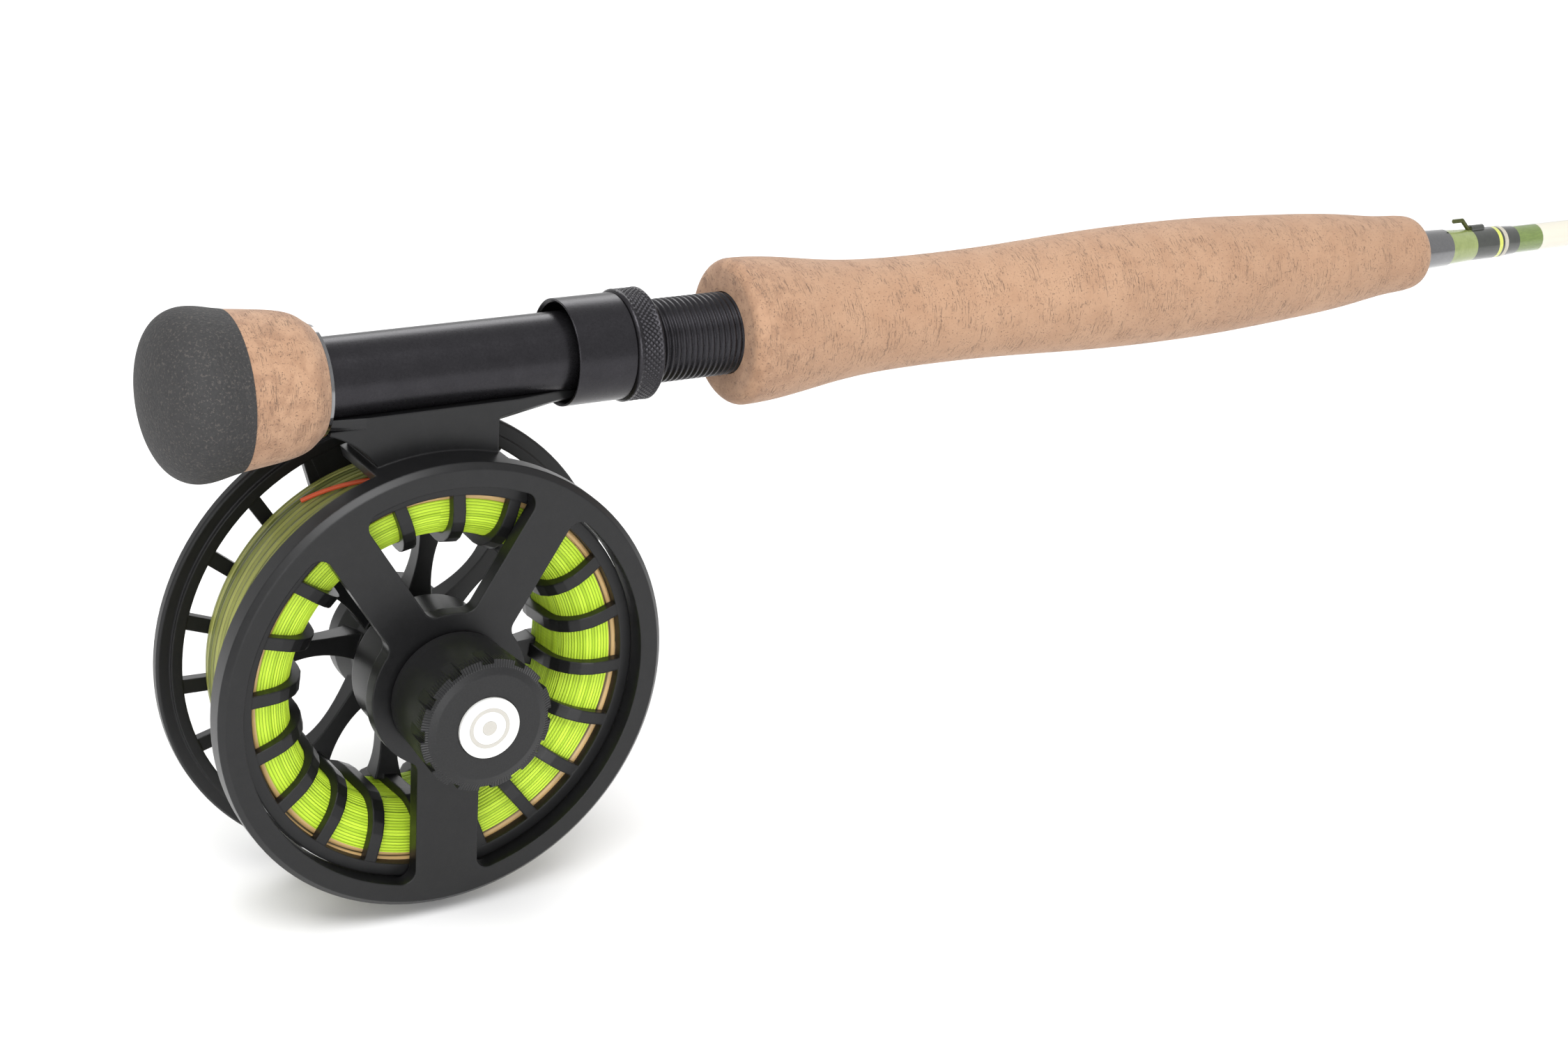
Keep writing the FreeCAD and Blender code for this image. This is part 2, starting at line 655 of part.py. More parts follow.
def make_trim():
    """Winding check, hook keeper and the coloured thread bands next to the grip."""
    check_x = grip_nose_x + SLIP
    olive_x = check_x + CHECK_LENGTH
    dark_x = olive_x + OLIVE_WRAP_LENGTH
    yellow_x = dark_x + DARK_WRAP_LENGTH
    silver_x = yellow_x + ACCENT_LENGTH + ACCENT_GAP
    tail_x = silver_x + ACCENT_LENGTH
    tail_end_x = tail_x + TAIL_WRAP_LENGTH
    blank_top = section_r(0, olive_x)
    start = dark_x + KEEPER_FOOT
    rise = blank_top + KEEPER_WIRE_R + KEEPER_BED
    keeper = wire([V(start, 0, rise), V(dark_x - 0.5, 0, rise),
                   V(dark_x - 0.5 * KEEPER_LENGTH, 0, rise + KEEPER_HEIGHT),
                   V(dark_x - KEEPER_LENGTH, 0, rise + KEEPER_HEIGHT)], KEEPER_WIRE_R)
    node("hook_keeper", keeper)
    node("winding_check", tube_on_blank(0, check_x, olive_x - SLIP, CHECK_START_R, CHECK_END_R))
    olive = tube_on_blank(0, olive_x, dark_x - SLIP, OLIVE_WRAP_R, DARK_WRAP_R)
    cover = bar_x(KEEPER_WIRE_R + WRAP_THICKNESS, dark_x, start + WRAP_THICKNESS)
    cover.translate(V(0, 0, rise))
    dark = fuse([bar_x(DARK_WRAP_R, dark_x, yellow_x - SLIP), cover])
    dark = dark.cut(lathe_x([(olive_x, 0), (olive_x, section_r(0, olive_x) + SLIP),
                             (silver_x, section_r(0, silver_x) + SLIP), (silver_x, 0)]))
    keeper_hole = bar_x(KEEPER_WIRE_R + SLIP, dark_x - 1, start + SLIP)
    keeper_hole.translate(V(0, 0, rise))
    gap_r = ACCENT_R - DARK_GAP_DROP
    gap = tube_on_blank(0, yellow_x + ACCENT_LENGTH, silver_x, gap_r, gap_r)
    tail = tube_on_blank(0, tail_x, tail_end_x, ACCENT_R - TAIL_WRAP_DROP,
                         section_r(0, tail_end_x) + TAIL_WRAP_DROP)
    node("handle_wrap_olive", olive.cut(keeper_hole).cut(keeper))
    node("handle_wrap_dark", Part.makeCompound([dark.cut(keeper_hole), gap, tail]))
    node("accent_wrap_yellow", tube_on_blank(0, yellow_x, yellow_x + ACCENT_LENGTH, ACCENT_R, ACCENT_R))
    node("accent_wrap_silver", tube_on_blank(0, silver_x, tail_x, ACCENT_R, ACCENT_R))


# ------------------------------------------------------------------ blank and guides

def make_blank(index):
    """Tapered hollow section; its lower end is a sleeve over the section below."""
    x0 = section_start[index]
    x1 = x0 + section_length
    wall = SECTION_WALL[index]
    if index == 0:
        inner = [(x0, section_r(0, x0) - wall)]
    else:
        sleeve_x = x0 + FERRULE_OVERLAP
        below = index - 1
        inner = [(x0, section_r(below, x0) + FERRULE_CLEARANCE),
                 (sleeve_x + 1, section_r(below, sleeve_x + 1) + FERRULE_CLEARANCE),
                 (sleeve_x + FERRULE_OVERLAP, section_r(index, sleeve_x + FERRULE_OVERLAP) - wall)]
    outer0, outer1 = section_r(index, x0), section_r(index, x1)
    outline = inner + [(x1, outer1 - wall), (x1, outer1), (x0, outer0)]
    node("blank_" + SECTION_NAMES[index], lathe_x(outline))


def wrap(index, x0, x1, foot_r):
    """Thread wrap round the blank and, where there is one, round a guide's foot."""
    middle = section_r(index, (x0 + x1) / 2)
    thread = bar_x(section_r(index, x0) + WRAP_THICKNESS, x0, x1)
    if foot_r:
        over_foot = bar_x(foot_r + WRAP_THICKNESS, x0, x1)
        over_foot.translate(V(0, 0, -(middle + foot_r)))
        thread = thread.fuse(over_foot)
    bore = lathe_x([(x0 - 1, 0), (x0 - 1, section_r(index, x0 - 1) + SLIP),
                    (x1 + 1, section_r(index, x1 + 1) + SLIP), (x1 + 1, 0)])
    return thread.cut(bore)


def make_snake(index, x, height):
    """Wire guide: rises on one side, arches over the line's path, comes down on the other side."""
    blank = section_r(index, x - SNAKE_SPAN * height / 2 - SNAKE_FOOT)
    base = -(blank + SNAKE_WIRE_R + SLIP)
    half = SNAKE_SPAN * height / 2
    side = height / 2
    points = [V(x - half - SNAKE_FOOT, 0, base), V(x - half, 0, base),
              V(x - SNAKE_SIDE_AT * half, side, base - 0.5 * height),
              V(x - SNAKE_TOP_AT * half, SNAKE_TOP_SIDE * side, base - SNAKE_TOP_SHARE * height),
              V(x + SNAKE_TOP_AT * half, -SNAKE_TOP_SIDE * side, base - SNAKE_TOP_SHARE * height),
              V(x + SNAKE_SIDE_AT * half, -side, base - 0.5 * height),
              V(x + half, 0, base), V(x + half + SNAKE_FOOT, 0, base)]
    guide = wire(points, SNAKE_WIRE_R)
    wraps = [wrap(index, x - half - SNAKE_FOOT - WRAP_MARGIN, x - half, SNAKE_WIRE_R),
             wrap(index, x + half, x + half + SNAKE_FOOT + WRAP_MARGIN, SNAKE_WIRE_R)]
    return guide, [w.cut(guide) for w in wraps]


def make_stripper(index, x, ring_r):
    """Ringed guide: ceramic insert, round frame and two split legs."""
    blank = section_r(index, x - STRIPPER_REACH - STRIPPER_FOOT)
    base = -(blank + STRIPPER_WIRE_R + SLIP)
    centre_z = -(blank + STRIPPER_CLEAR + ring_r)
    seat_r = ring_r - STRIPPER_WALL
    half = STRIPPER_RING_THICKNESS / 2
    frame = bar_x(ring_r, x - half, x + half).cut(bar_x(seat_r, x - half - 1, x + half + 1))
    frame.translate(V(0, 0, centre_z))
    rim = seat_r + STRIPPER_WALL / 2
    pieces = [frame]
    for way in (-1, 1):
        foot_end = V(x + way * (STRIPPER_REACH + STRIPPER_FOOT), 0, base)
        foot_start = V(x + way * STRIPPER_REACH, 0, base)
        pieces.append(wire([foot_end, foot_start, foot_start + V(-way, 0, 0)], STRIPPER_WIRE_R))
        for side in (-1, 1):
            lean = math.radians(STRIPPER_LEG_ANGLE)
            hold = V(x, side * rim * math.sin(lean), centre_z + rim * math.cos(lean))
            pieces.append(cylinder(STRIPPER_WIRE_R * STRIPPER_LEG_SHARE, foot_start, hold))
        pieces.append(Part.makeSphere(STRIPPER_WIRE_R, foot_start))
    bore = bar_x(seat_r, x - 2, x + 2)
    bore.translate(V(0, 0, centre_z))
    guide = fuse(pieces).cut(bore)
    reach = STRIPPER_REACH + STRIPPER_FOOT + 1
    blank_bar = bar_x(blank + SLIP, x - reach, x + reach)
    guide = guide.cut(blank_bar)
    insert_half = INSERT_THICKNESS / 2
    outer = seat_r - SLIP
    inner = outer - INSERT_WALL
    insert = bar_x(outer, x - insert_half, x + insert_half).cut(bar_x(inner, x - 2, x + 2))
    insert.translate(V(0, 0, centre_z))
    wraps = []
    for way in (-1, 1):
        ends = sorted((x + way * STRIPPER_REACH, x + way * (STRIPPER_REACH + STRIPPER_FOOT + WRAP_MARGIN)))
        wraps.append(wrap(index, ends[0], ends[1], STRIPPER_WIRE_R).cut(guide))
    return guide, insert, wraps


def make_tip_top():
    """Tube on the tip with a small ring below it."""
    x1 = tip_x
    x0 = x1 - TIP_TUBE_LENGTH
    bore = section_r(3, x0) + SLIP
    outer = bore + TIP_TUBE_WALL
    end = x1 + TIP_CAP
    tube = lathe_x([(x0, bore), (x0, outer), (end, outer), (end, 0), (x1 + SLIP, 0), (x1 + SLIP, bore)])
    centre = V(end, 0, -(outer + TIP_RING_R - TIP_RING_SINK))
    half = TIP_RING_THICKNESS / 2
    seat_r = TIP_RING_R - TIP_RING_WALL / 2
    ring = cylinder(TIP_RING_R, centre - V(half, 0, 0), centre + V(half, 0, 0))
    hole = cylinder(seat_r, centre - V(2, 0, 0), centre + V(2, 0, 0))
    strut = cylinder(TIP_STRUT_R, V(x0 + TIP_STRUT_FROM, 0, -outer),
                     centre - V(0, 0, TIP_RING_R - TIP_RING_WALL / 4))
    node("tip_top", fuse([tube, ring, strut]).cut(hole).cut(bar_x(bore, x0 - 1, x1)))
    insert = cylinder(seat_r - SLIP, centre - V(half, 0, 0), centre + V(half, 0, 0))
    opening = cylinder(seat_r - TIP_RING_WALL / 2, centre - V(2, 0, 0), centre + V(2, 0, 0))
    node("tip_top_ring", insert.cut(opening))


def make_rod():
    """Four blank sections with their guides, wraps and ferrule bindings."""
    for index, name in enumerate(SECTION_NAMES):
        make_blank(index)
        wraps = []
        if index > 0:
            start = section_start[index]
            node("ferrule_wrap_" + name, wrap(index, start + 1, start + 1 + FERRULE_WRAP, 0))
        if index < 2:
            place = tip_x - STRIPPER_STATIONS[index]
            guide, insert, bindings = make_stripper(index, place, STRIPPER_RING_R[index])
            node("stripping_guide_" + str(index + 1), guide)
            node("stripping_ring_" + str(index + 1), insert)
            wraps += bindings
        if index > 0:
            guides = []
            for station, height in zip(SNAKE_STATIONS[index - 1], SNAKE_HEIGHT[index - 1]):
                guide, bindings = make_snake(index, tip_x - station, height)
                guides.append(guide)
                wraps += bindings
            node("snake_guides_" + name, Part.makeCompound(guides))
        node("guide_wraps_" + name, Part.makeCompound(wraps))


# ------------------------------------------------------------------ reel frame

def foot_envelope():
    """Round envelope of the foot: thick at the stem, thin at both tangs."""
    x0, x1 = reel_x - FOOT_HALF_LENGTH, reel_x + FOOT_HALF_LENGTH
    thin_x = reel_x - FOOT_THIN_AT * FOOT_HALF_LENGTH
    return lathe_x([(x0, 0), (x0, tang_r), (thin_x, tang_r + TANG_REAR_RISE),
                    (reel_x - STEM_BACK, foot_mid_r), (reel_x + STEM_FRONT, foot_mid_r),
                    (hood_x - TANG_FRONT_GAP, tang_r + TANG_FRONT_RISE), (x1, tang_r), (x1, 0)])


def make_foot():
    """Reel foot: saddle under the barrel, narrow at both ends."""
    half, end = FOOT_HALF_WIDTH, FOOT_END_HALF_WIDTH
    x0, x1 = reel_x - FOOT_HALF_LENGTH, reel_x + FOOT_HALF_LENGTH
    a, b = reel_x - FOOT_WIDE_SHARE * STEM_BACK, reel_x + FOOT_WIDE_SHARE * STEM_FRONT
    plan = [V(x0, -end, 0), V(a, -half, 0), V(b, -half, 0), V(x1, -end, 0),
            V(x1, end, 0), V(b, half, 0), V(a, half, 0), V(x0, end, 0)]
    slab = Part.Face(polygon(plan)).extrude(V(0, 0, -reel_drop / 2))
    slab.translate(V(0, 0, -FOOT_EDGE_DROP))
    return slab.common(foot_envelope())


def make_stem():
    """Block between foot and ring, square in front and ramped behind with a hollow curve."""
    front, back = reel_x + STEM_FRONT, reel_x - STEM_BACK
    crest = -reel_drop + FRAME_R
    top, low = -FOOT_EDGE_DROP - STEM_INTO_FOOT, crest - STEM_INTO_RING
    ramp_low, ramp_high = V(back - 1, 0, crest - STEM_RAMP_LOW), V(back - STEM_RAMP, 0, top)
    chord = ramp_high - ramp_low
    hollow = V(chord.z, 0, -chord.x).normalize() * STEM_RAMP_SAG
    edges = [Part.LineSegment(V(front, 0, top), V(front, 0, low)).toShape(),
             Part.LineSegment(V(front, 0, low), V(ramp_low.x, 0, low)).toShape(),
             Part.LineSegment(V(ramp_low.x, 0, low), ramp_low).toShape(),
             Part.Arc(ramp_low, ramp_low + chord / 2 + hollow, ramp_high).toShape(),
             Part.LineSegment(ramp_high, V(front, 0, top)).toShape()]
    block = Part.Face(Part.Wire(edges)).extrude(V(0, 2 * FOOT_HALF_WIDTH, 0))
    block.translate(V(0, -FOOT_HALF_WIDTH, 0))
    inside = to_reel(bar_y(bridge_inner_r + STEM_BORE_RISE, -2 * FOOT_HALF_WIDTH, 2 * FOOT_HALF_WIDTH))
    return block.cut(inside)


def window(spoke_a, width_a, spoke_b, width_b):
    """Opening between two spokes, with rounded corners, from the boss to the ring."""
    y0, y1 = FRAME_FRONT_Y - 1, frame_back_y + 1
    middle, half = (spoke_a + spoke_b) / 2, (spoke_b - spoke_a) / 2
    opening = sector_y(BOSS_R, frame_window_r, y0, y1, middle, half)
    for angle, width in ((spoke_a, width_a), (spoke_b, width_b)):
        opening = opening.cut(around_spindle(box(0, FRAME_R, y0, y1, -width / 2, width / 2), angle))
    upright = [e for e in opening.Edges
               if isinstance(e.Curve, Part.Line) and abs(abs(e.tangentAt(e.FirstParameter).y) - 1) < 1e-6]
    return opening.makeFillet(WINDOW_ROUND, upright)


def make_reel_frame():
    """One casting: front ring, three spokes, drag cup, bridge, stem, foot and lower line guard."""
    outline = [(0, FRAME_FRONT_Y), (FRAME_R - FRAME_CHAMFER, FRAME_FRONT_Y),
               (FRAME_R, FRAME_FRONT_Y + FRAME_CHAMFER), (FRAME_R, frame_back_y),
               (frame_window_r, frame_back_y),
               (frame_window_r, spoke_back_y), (HOUSING_R, spoke_back_y),
               (HOUSING_R, HOUSING_BACK_Y), (HOUSING_BORE_R, HOUSING_BACK_Y), (HOUSING_BORE_R, boss_floor_y),
               (0, boss_floor_y)]
    plate = lathe_y(outline)
    left, right, low = 90 + SPOKE_HALF_ANGLE, 90 - SPOKE_HALF_ANGLE, DOWN
    plate = plate.cut(window(right, UPPER_SPOKE_WIDTH, left, UPPER_SPOKE_WIDTH))
    plate = plate.cut(window(left, UPPER_SPOKE_WIDTH, low, LOWER_SPOKE_WIDTH))
    plate = plate.cut(window(low, LOWER_SPOKE_WIDTH, right + 360, UPPER_SPOKE_WIDTH))
    bridge = sector_y(bridge_inner_r, FRAME_R, frame_back_y - 1, BRIDGE_BACK_Y, 90, BRIDGE_HALF_ANGLE)
    guard = sector_y(bridge_inner_r, FRAME_R, frame_back_y - 1, GUARD_BACK_Y, DOWN, GUARD_HALF_ANGLE)
    casting = to_reel(fuse([plate, bridge, guard]))
    casting = fuse([casting, make_stem(), make_foot()])
    groove = ring_y(HOUSING_BORE_R - 1, HOUSING_BORE_R + COVER_RING_GROOVE, cover_ring_y - SLIP,
                    cover_ring_y + COVER_RING + SLIP)
    cuts = [bar_y(SPINDLE_R + SLIP, FRAME_FRONT_Y - 1, boss_floor_y + 1), groove]
    for i in range(PIN_COUNT):
        spot = polar(PIN_CIRCLE_R, 90 + i * 360 / PIN_COUNT)
        cuts.append(bar_y(PIN_R + RUNNING, FRAME_FRONT_Y - 1, boss_floor_y + 1, spot.x, spot.z))
    casting = casting.cut([to_reel(c) for c in cuts])
    barrel = bar_x(BARREL_R + SLIP, reel_x - FOOT_HALF_LENGTH - 1, reel_x + FOOT_HALF_LENGTH + 1)
    casting = casting.cut(barrel)
    inside_r = fixed_hood_inner_r - TANG_CLEARANCE
    rear_x = reel_x - FOOT_HALF_LENGTH - 1
    lip_x = seat_butt_x + FIXED_HOOD_LIP + 2 * SLIP
    around_hood = lathe_x([(rear_x, inside_r), (rear_x, BUTT_CORK_R), (lip_x, BUTT_CORK_R),
                           (lip_x, inside_r)])
    node("reel_frame", casting.cut(around_hood))


# ------------------------------------------------------------------ drag

def make_drag():
    """Spindle, disc stack and cover inside the frame's cup."""
    flange_y = boss_floor_y + SLIP
    spindle = lathe_y([(0, SPINDLE_FRONT_Y), (SPINDLE_R, SPINDLE_FRONT_Y), (SPINDLE_R, flange_y),
                       (SPINDLE_FLANGE_R, flange_y), (SPINDLE_FLANGE_R, flange_y + SPINDLE_FLANGE),
                       (SPINDLE_R, flange_y + SPINDLE_FLANGE), (SPINDLE_R, SPINDLE_BACK_Y),
                       (0, SPINDLE_BACK_Y)])
    node("spindle", to_reel(spindle))
    nut_back = FRAME_FRONT_Y - SLIP
    corners = [polar(SPINDLE_NUT_R, 60 * i, nut_back - SPINDLE_NUT_HEIGHT) for i in range(6)]
    hexagon = Part.Face(polygon(corners)).extrude(V(0, SPINDLE_NUT_HEIGHT, 0))
    hole = bar_y(SPINDLE_R + SLIP, nut_back - SPINDLE_NUT_HEIGHT - 1, nut_back + 1)
    node("spindle_nut", to_reel(hexagon.cut(hole)))

    plate = ring_y(PLATE_BORE_R, DISC_R, PRESSURE_PLATE_Y, PRESSURE_PLATE_Y + PRESSURE_PLATE)
    node("pressure_plate", to_reel(plate))
    pins = []
    for i in range(PIN_COUNT):
        spot = polar(PIN_CIRCLE_R, 90 + i * 360 / PIN_COUNT)
        pins.append(bar_y(PIN_R, KNOB_SKIRT_Y + SLIP, PRESSURE_PLATE_Y - SLIP, spot.x, spot.z))
    node("push_pins", to_reel(Part.makeCompound(pins)))

    low, high = DISC_BORE_R + WASHER_BORE_GAP, DISC_R - WASHER_RIM_GAP
    cone = WASHER_CONE * SPRING_WASHER
    washer = lathe_y([(low, spring_y), (high, spring_y + cone), (high, spring_y + SPRING_WASHER),
                      (low, spring_y + SPRING_WASHER - cone)])
    node("spring_washer", to_reel(washer))
    discs = [ring_y(DISC_BORE_R, DISC_R, y, y + DISC_THICKNESS) for y in (front_disc_y, back_disc_y)]
    node("carbon_discs", to_reel(Part.makeCompound(discs)))

    sleeve_bore = SPINDLE_R + RUNNING
    rim_r = DISC_R - ROTOR_RIM_GAP
    rotor = lathe_y([(sleeve_bore, rotor_y), (rim_r, rotor_y), (rim_r, rotor_y + ROTOR_PLATE),
                     (ROTOR_SLEEVE_R, rotor_y + ROTOR_PLATE), (ROTOR_SLEEVE_R, ROTOR_BACK_Y),
                     (sleeve_bore, ROTOR_BACK_Y)])
    node("drag_rotor", to_reel(rotor))

    cover_bore = ROTOR_SLEEVE_R + FREE
    cover = ring_y(cover_bore, HOUSING_BORE_R - SLIP, cover_y, cover_y + COVER_THICKNESS)
    seat = ring_y(cover_bore - 1, SEAL_R + SLIP, seal_y - SLIP, seal_y + SEAL_WIDTH + SLIP)
    node("drag_cover", to_reel(cover.cut(seat)))
    node("drag_seal", to_reel(ring_y(ROTOR_SLEEVE_R + RUNNING, SEAL_R, seal_y, seal_y + SEAL_WIDTH)))
    node("cover_ring", to_reel(ring_y(HOUSING_BORE_R - COVER_RING_WIDTH, HOUSING_BORE_R + COVER_RING_BITE,
                                      cover_ring_y, cover_ring_y + COVER_RING)))


def make_drag_knob():
    """Cup with finger notches round its front edge, a medallion in its face and a bush inside."""
    shoulder_y = KNOB_BASE_Y - KNOB_STRAIGHT
    floor_y = KNOB_FACE_Y + MEDALLION_SEAT
    seat_r = MEDALLION_R + MEDALLION_GAP
    bush_bore = BUSH_R + SLIP
    knob = lathe_y([
        (0, floor_y), (seat_r, floor_y), (seat_r, KNOB_FACE_Y), (KNOB_FACE_R - KNOB_BEVEL, KNOB_FACE_Y),
        (KNOB_FACE_R, KNOB_FACE_Y + KNOB_EDGE), (KNOB_BASE_R, shoulder_y), (KNOB_BASE_R, KNOB_BASE_Y),
        (KNOB_BASE_R - KNOB_WALL, KNOB_BASE_Y), (KNOB_FACE_R - KNOB_WALL, KNOB_CAVITY_Y),
        (KNOB_SKIRT_R, KNOB_CAVITY_Y), (KNOB_SKIRT_R, KNOB_SKIRT_Y), (KNOB_SKIRT_BORE_R, KNOB_SKIRT_Y),
        (KNOB_SKIRT_BORE_R, BUSH_Y), (bush_bore, BUSH_Y), (bush_bore, KNOB_CAVITY_Y), (0, KNOB_CAVITY_Y)])
    front_r = KNOB_FACE_R - KNOB_NOTCH_DEPTH
    notch_end_y = KNOB_FACE_Y + KNOB_NOTCH_LENGTH
    outside = KNOB_FACE_R + 2
    profile = [V(front_r, KNOB_FACE_Y - 1, 0), V(front_r, KNOB_FACE_Y + KNOB_EDGE, 0),
               V(KNOB_FACE_R, notch_end_y, 0), V(outside, notch_end_y, 0),
               V(outside, KNOB_FACE_Y - 1, 0)]
    notch = Part.Face(polygon(profile)).extrude(V(0, 0, KNOB_NOTCH_WIDTH))
    notch.translate(V(0, 0, -KNOB_NOTCH_WIDTH / 2))
    notches = [around_spindle(notch, i * 360 / KNOB_NOTCHES) for i in range(KNOB_NOTCHES)]
    node("drag_knob", to_reel(knob.cut(notches)))
    node("knob_bush", to_reel(ring_y(SPINDLE_R + RUNNING, BUSH_R, KNOB_CAVITY_Y + SLIP, BUSH_Y)))
    node("knob_medallion", to_reel(bar_y(MEDALLION_R, KNOB_FACE_Y - MEDALLION_PROUD, floor_y - SLIP)))


# ------------------------------------------------------------------ spool

def rib_path():
    """Stations of a rib's centre line: radius, y, direction (dr, dy) and share of the way to the far rim."""
    near_centre = (ARBOR_R + RIB_NEAR_BEND, RIB_NEAR_Y + RIB_NEAR_BEND)
    far_centre = (ARBOR_R + RIB_FAR_BEND, RIB_FAR_Y - RIB_FAR_BEND)
    stations = [(near_rim_inner_r + RIB_INTO_NEAR_RIM, RIB_NEAR_Y, -1.0, 0.0)]
    for degrees in BEND_STEPS:
        a = math.radians(degrees)
        stations.append((near_centre[0] - RIB_NEAR_BEND * math.sin(a),
                         near_centre[1] - RIB_NEAR_BEND * math.cos(a), -math.cos(a), math.sin(a)))
    for degrees in BEND_STEPS:
        a = math.radians(degrees)
        stations.append((far_centre[0] - RIB_FAR_BEND * math.cos(a),
                         far_centre[1] + RIB_FAR_BEND * math.sin(a), math.sin(a), math.cos(a)))
    stations.append((far_rim_inner_r + RIB_INTO_FAR_RIM, RIB_FAR_Y, 1.0, 0.0))
    lengths = [0.0]
    for a, b in zip(stations, stations[1:]):
        lengths.append(lengths[-1] + math.hypot(b[0] - a[0], b[1] - a[1]))
    return [s + (length / lengths[-1],) for s, length in zip(stations, lengths)]


def make_rib(far_angle):
    """U-shaped rib from the near rim, under the line, to the far rim; it leans by RIB_TWIST."""
    wires = []
    for r, y, dr, dy, share in rib_path():
        angle = math.radians(far_angle + RIB_TWIST * (1 - share))
        out = V(math.cos(angle), 0, math.sin(angle))
        across = V(-math.sin(angle), 0, math.cos(angle))
        centre = out * r + V(0, y, 0)
        normal = (out * (-dy) + V(0, dr, 0)) * (RIB_THICKNESS / 2)
        side = across * ((RIB_NEAR_WIDTH + share * (RIB_FAR_WIDTH - RIB_NEAR_WIDTH)) / 2)
        wires.append(polygon([centre + normal + side, centre + normal - side,
                              centre - normal - side, centre - normal + side]))
    return Part.makeLoft(wires, True, True)


def make_arm(rib_angle):
    """Arm from the hub to a rib, waisted in the middle and flared at the rib."""
    wires = []
    for reach, y, width, depth, share in ARM_STATIONS:
        angle = math.radians(rib_angle + share * ARM_LEAN)
        out = V(math.cos(angle), 0, math.sin(angle))
        across = V(-math.sin(angle), 0, math.cos(angle)) * (width / 2)
        deep = V(0, depth / 2, 0)
        centre = out * (reach * ARBOR_R) + V(0, y, 0)
        wires.append(polygon([centre + across + deep, centre - across + deep,
                              centre - across - deep, centre + across - deep]))
    return Part.makeLoft(wires, True, False)


def make_spool():
    """Skeleton spool: near rim, twisted ribs, far palming rim, arms and hub in one piece."""
    near = ring_y(near_rim_inner_r, near_rim_r, RIB_NEAR_Y - NEAR_RIM_HALF, RIB_NEAR_Y + NEAR_RIM_HALF)
    step_y = FAR_RIM_FRONT_Y + FAR_RIM_STEP
    far = lathe_y([
        (far_rim_inner_r, FAR_RIM_FRONT_Y), (far_rim_step_r, FAR_RIM_FRONT_Y),
        (far_rim_step_r, step_y), (far_rim_r - FAR_RIM_EDGE, step_y),
        (far_rim_r, step_y + FAR_RIM_EDGE), (far_rim_r, FAR_RIM_BACK_Y - FAR_RIM_CHAMFER),
        (far_rim_r - FAR_RIM_CHAMFER, FAR_RIM_BACK_Y), (far_rim_inner_r, FAR_RIM_BACK_Y)])
    hub = lathe_y([
        (CLUTCH_R + SLIP, HUB_FRONT_Y), (HUB_FRONT_R, HUB_FRONT_Y), (HUB_FRONT_R, HUB_FRONT_Y + HUB_COLLAR),
        (HUB_WAIST_R + HUB_FRONT_FLARE, HUB_WAIST_Y - HUB_FRONT_TAPER), (HUB_WAIST_R, HUB_WAIST_Y),
        (HUB_WAIST_R + HUB_WAIST_RISE, HUB_WAIST_Y + HUB_WAIST_LENGTH),
        (HUB_BACK_R, HUB_BACK_Y - HUB_BACK_BAND), (HUB_BACK_R, HUB_BACK_Y), (BUTTON_POCKET_R, HUB_BACK_Y),
        (BUTTON_POCKET_R, BEARING_BACK_Y + SLIP), (BEARING_R + SLIP, BEARING_BACK_Y + SLIP),
        (BEARING_R + SLIP, BEARING_FRONT_Y), (SPINDLE_R + FREE, BEARING_FRONT_Y),
        (SPINDLE_R + FREE, CLUTCH_POCKET_Y), (CLUTCH_R + SLIP, CLUTCH_POCKET_Y)])
    pieces = [near, far, hub]
    pieces += [make_rib(RIB_FAR_PHASE + i * 360 / RIB_COUNT) for i in range(RIB_COUNT)]
    pair_middle = HANDLE_ANGLE - ARM_OFFSET
    for pair in range(ARM_PAIRS):
        for side in (-1, 1):
            pieces.append(make_arm(pair_middle + pair * 360 / ARM_PAIRS + side * ARM_HALF_ANGLE))
    for angle in (HANDLE_ANGLE, HANDLE_ANGLE + 180):
        pieces.append(sector_y(sector_inner_r, far_rim_inner_r + 1, RIB_FAR_Y - SECTOR_HALF,
                               RIB_FAR_Y + SECTOR_HALF, angle, HANDLE_SECTOR_HALF))
    spool = fuse(pieces)
    clear_bore = bar_y(CLUTCH_R + SLIP, HUB_FRONT_Y - 1, CLUTCH_POCKET_Y)
    clear_bore = clear_bore.fuse(bar_y(SPINDLE_R + FREE, HUB_FRONT_Y, HUB_BACK_Y + 1))
    clear_bore = clear_bore.fuse(bar_y(BEARING_R + SLIP, BEARING_FRONT_Y, BEARING_BACK_Y + SLIP))
    clear_bore = clear_bore.fuse(bar_y(BUTTON_POCKET_R, BEARING_BACK_Y, HUB_BACK_Y + 1))
    post = polar(handle_circle_r, HANDLE_ANGLE)
    weight = polar(handle_circle_r, HANDLE_ANGLE + 180)
    post_hole = bar_y(POST_R + SLIP, FAR_RIM_FRONT_Y - 1, FAR_RIM_BACK_Y + 1, post.x, post.z)
    weight_hole = bar_y(COUNTERWEIGHT_R + SLIP, FAR_RIM_FRONT_Y - 1, FAR_RIM_BACK_Y + 1,
                        weight.x, weight.z)
    node("spool", to_reel(spool.cut([clear_bore, post_hole, weight_hole])))
    weight_y = RIB_FAR_Y - SECTOR_HALF
    node("counterweight", to_reel(bar_y(COUNTERWEIGHT_R, weight_y, weight_y + COUNTERWEIGHT_THICKNESS,
                                        weight.x, weight.z)))


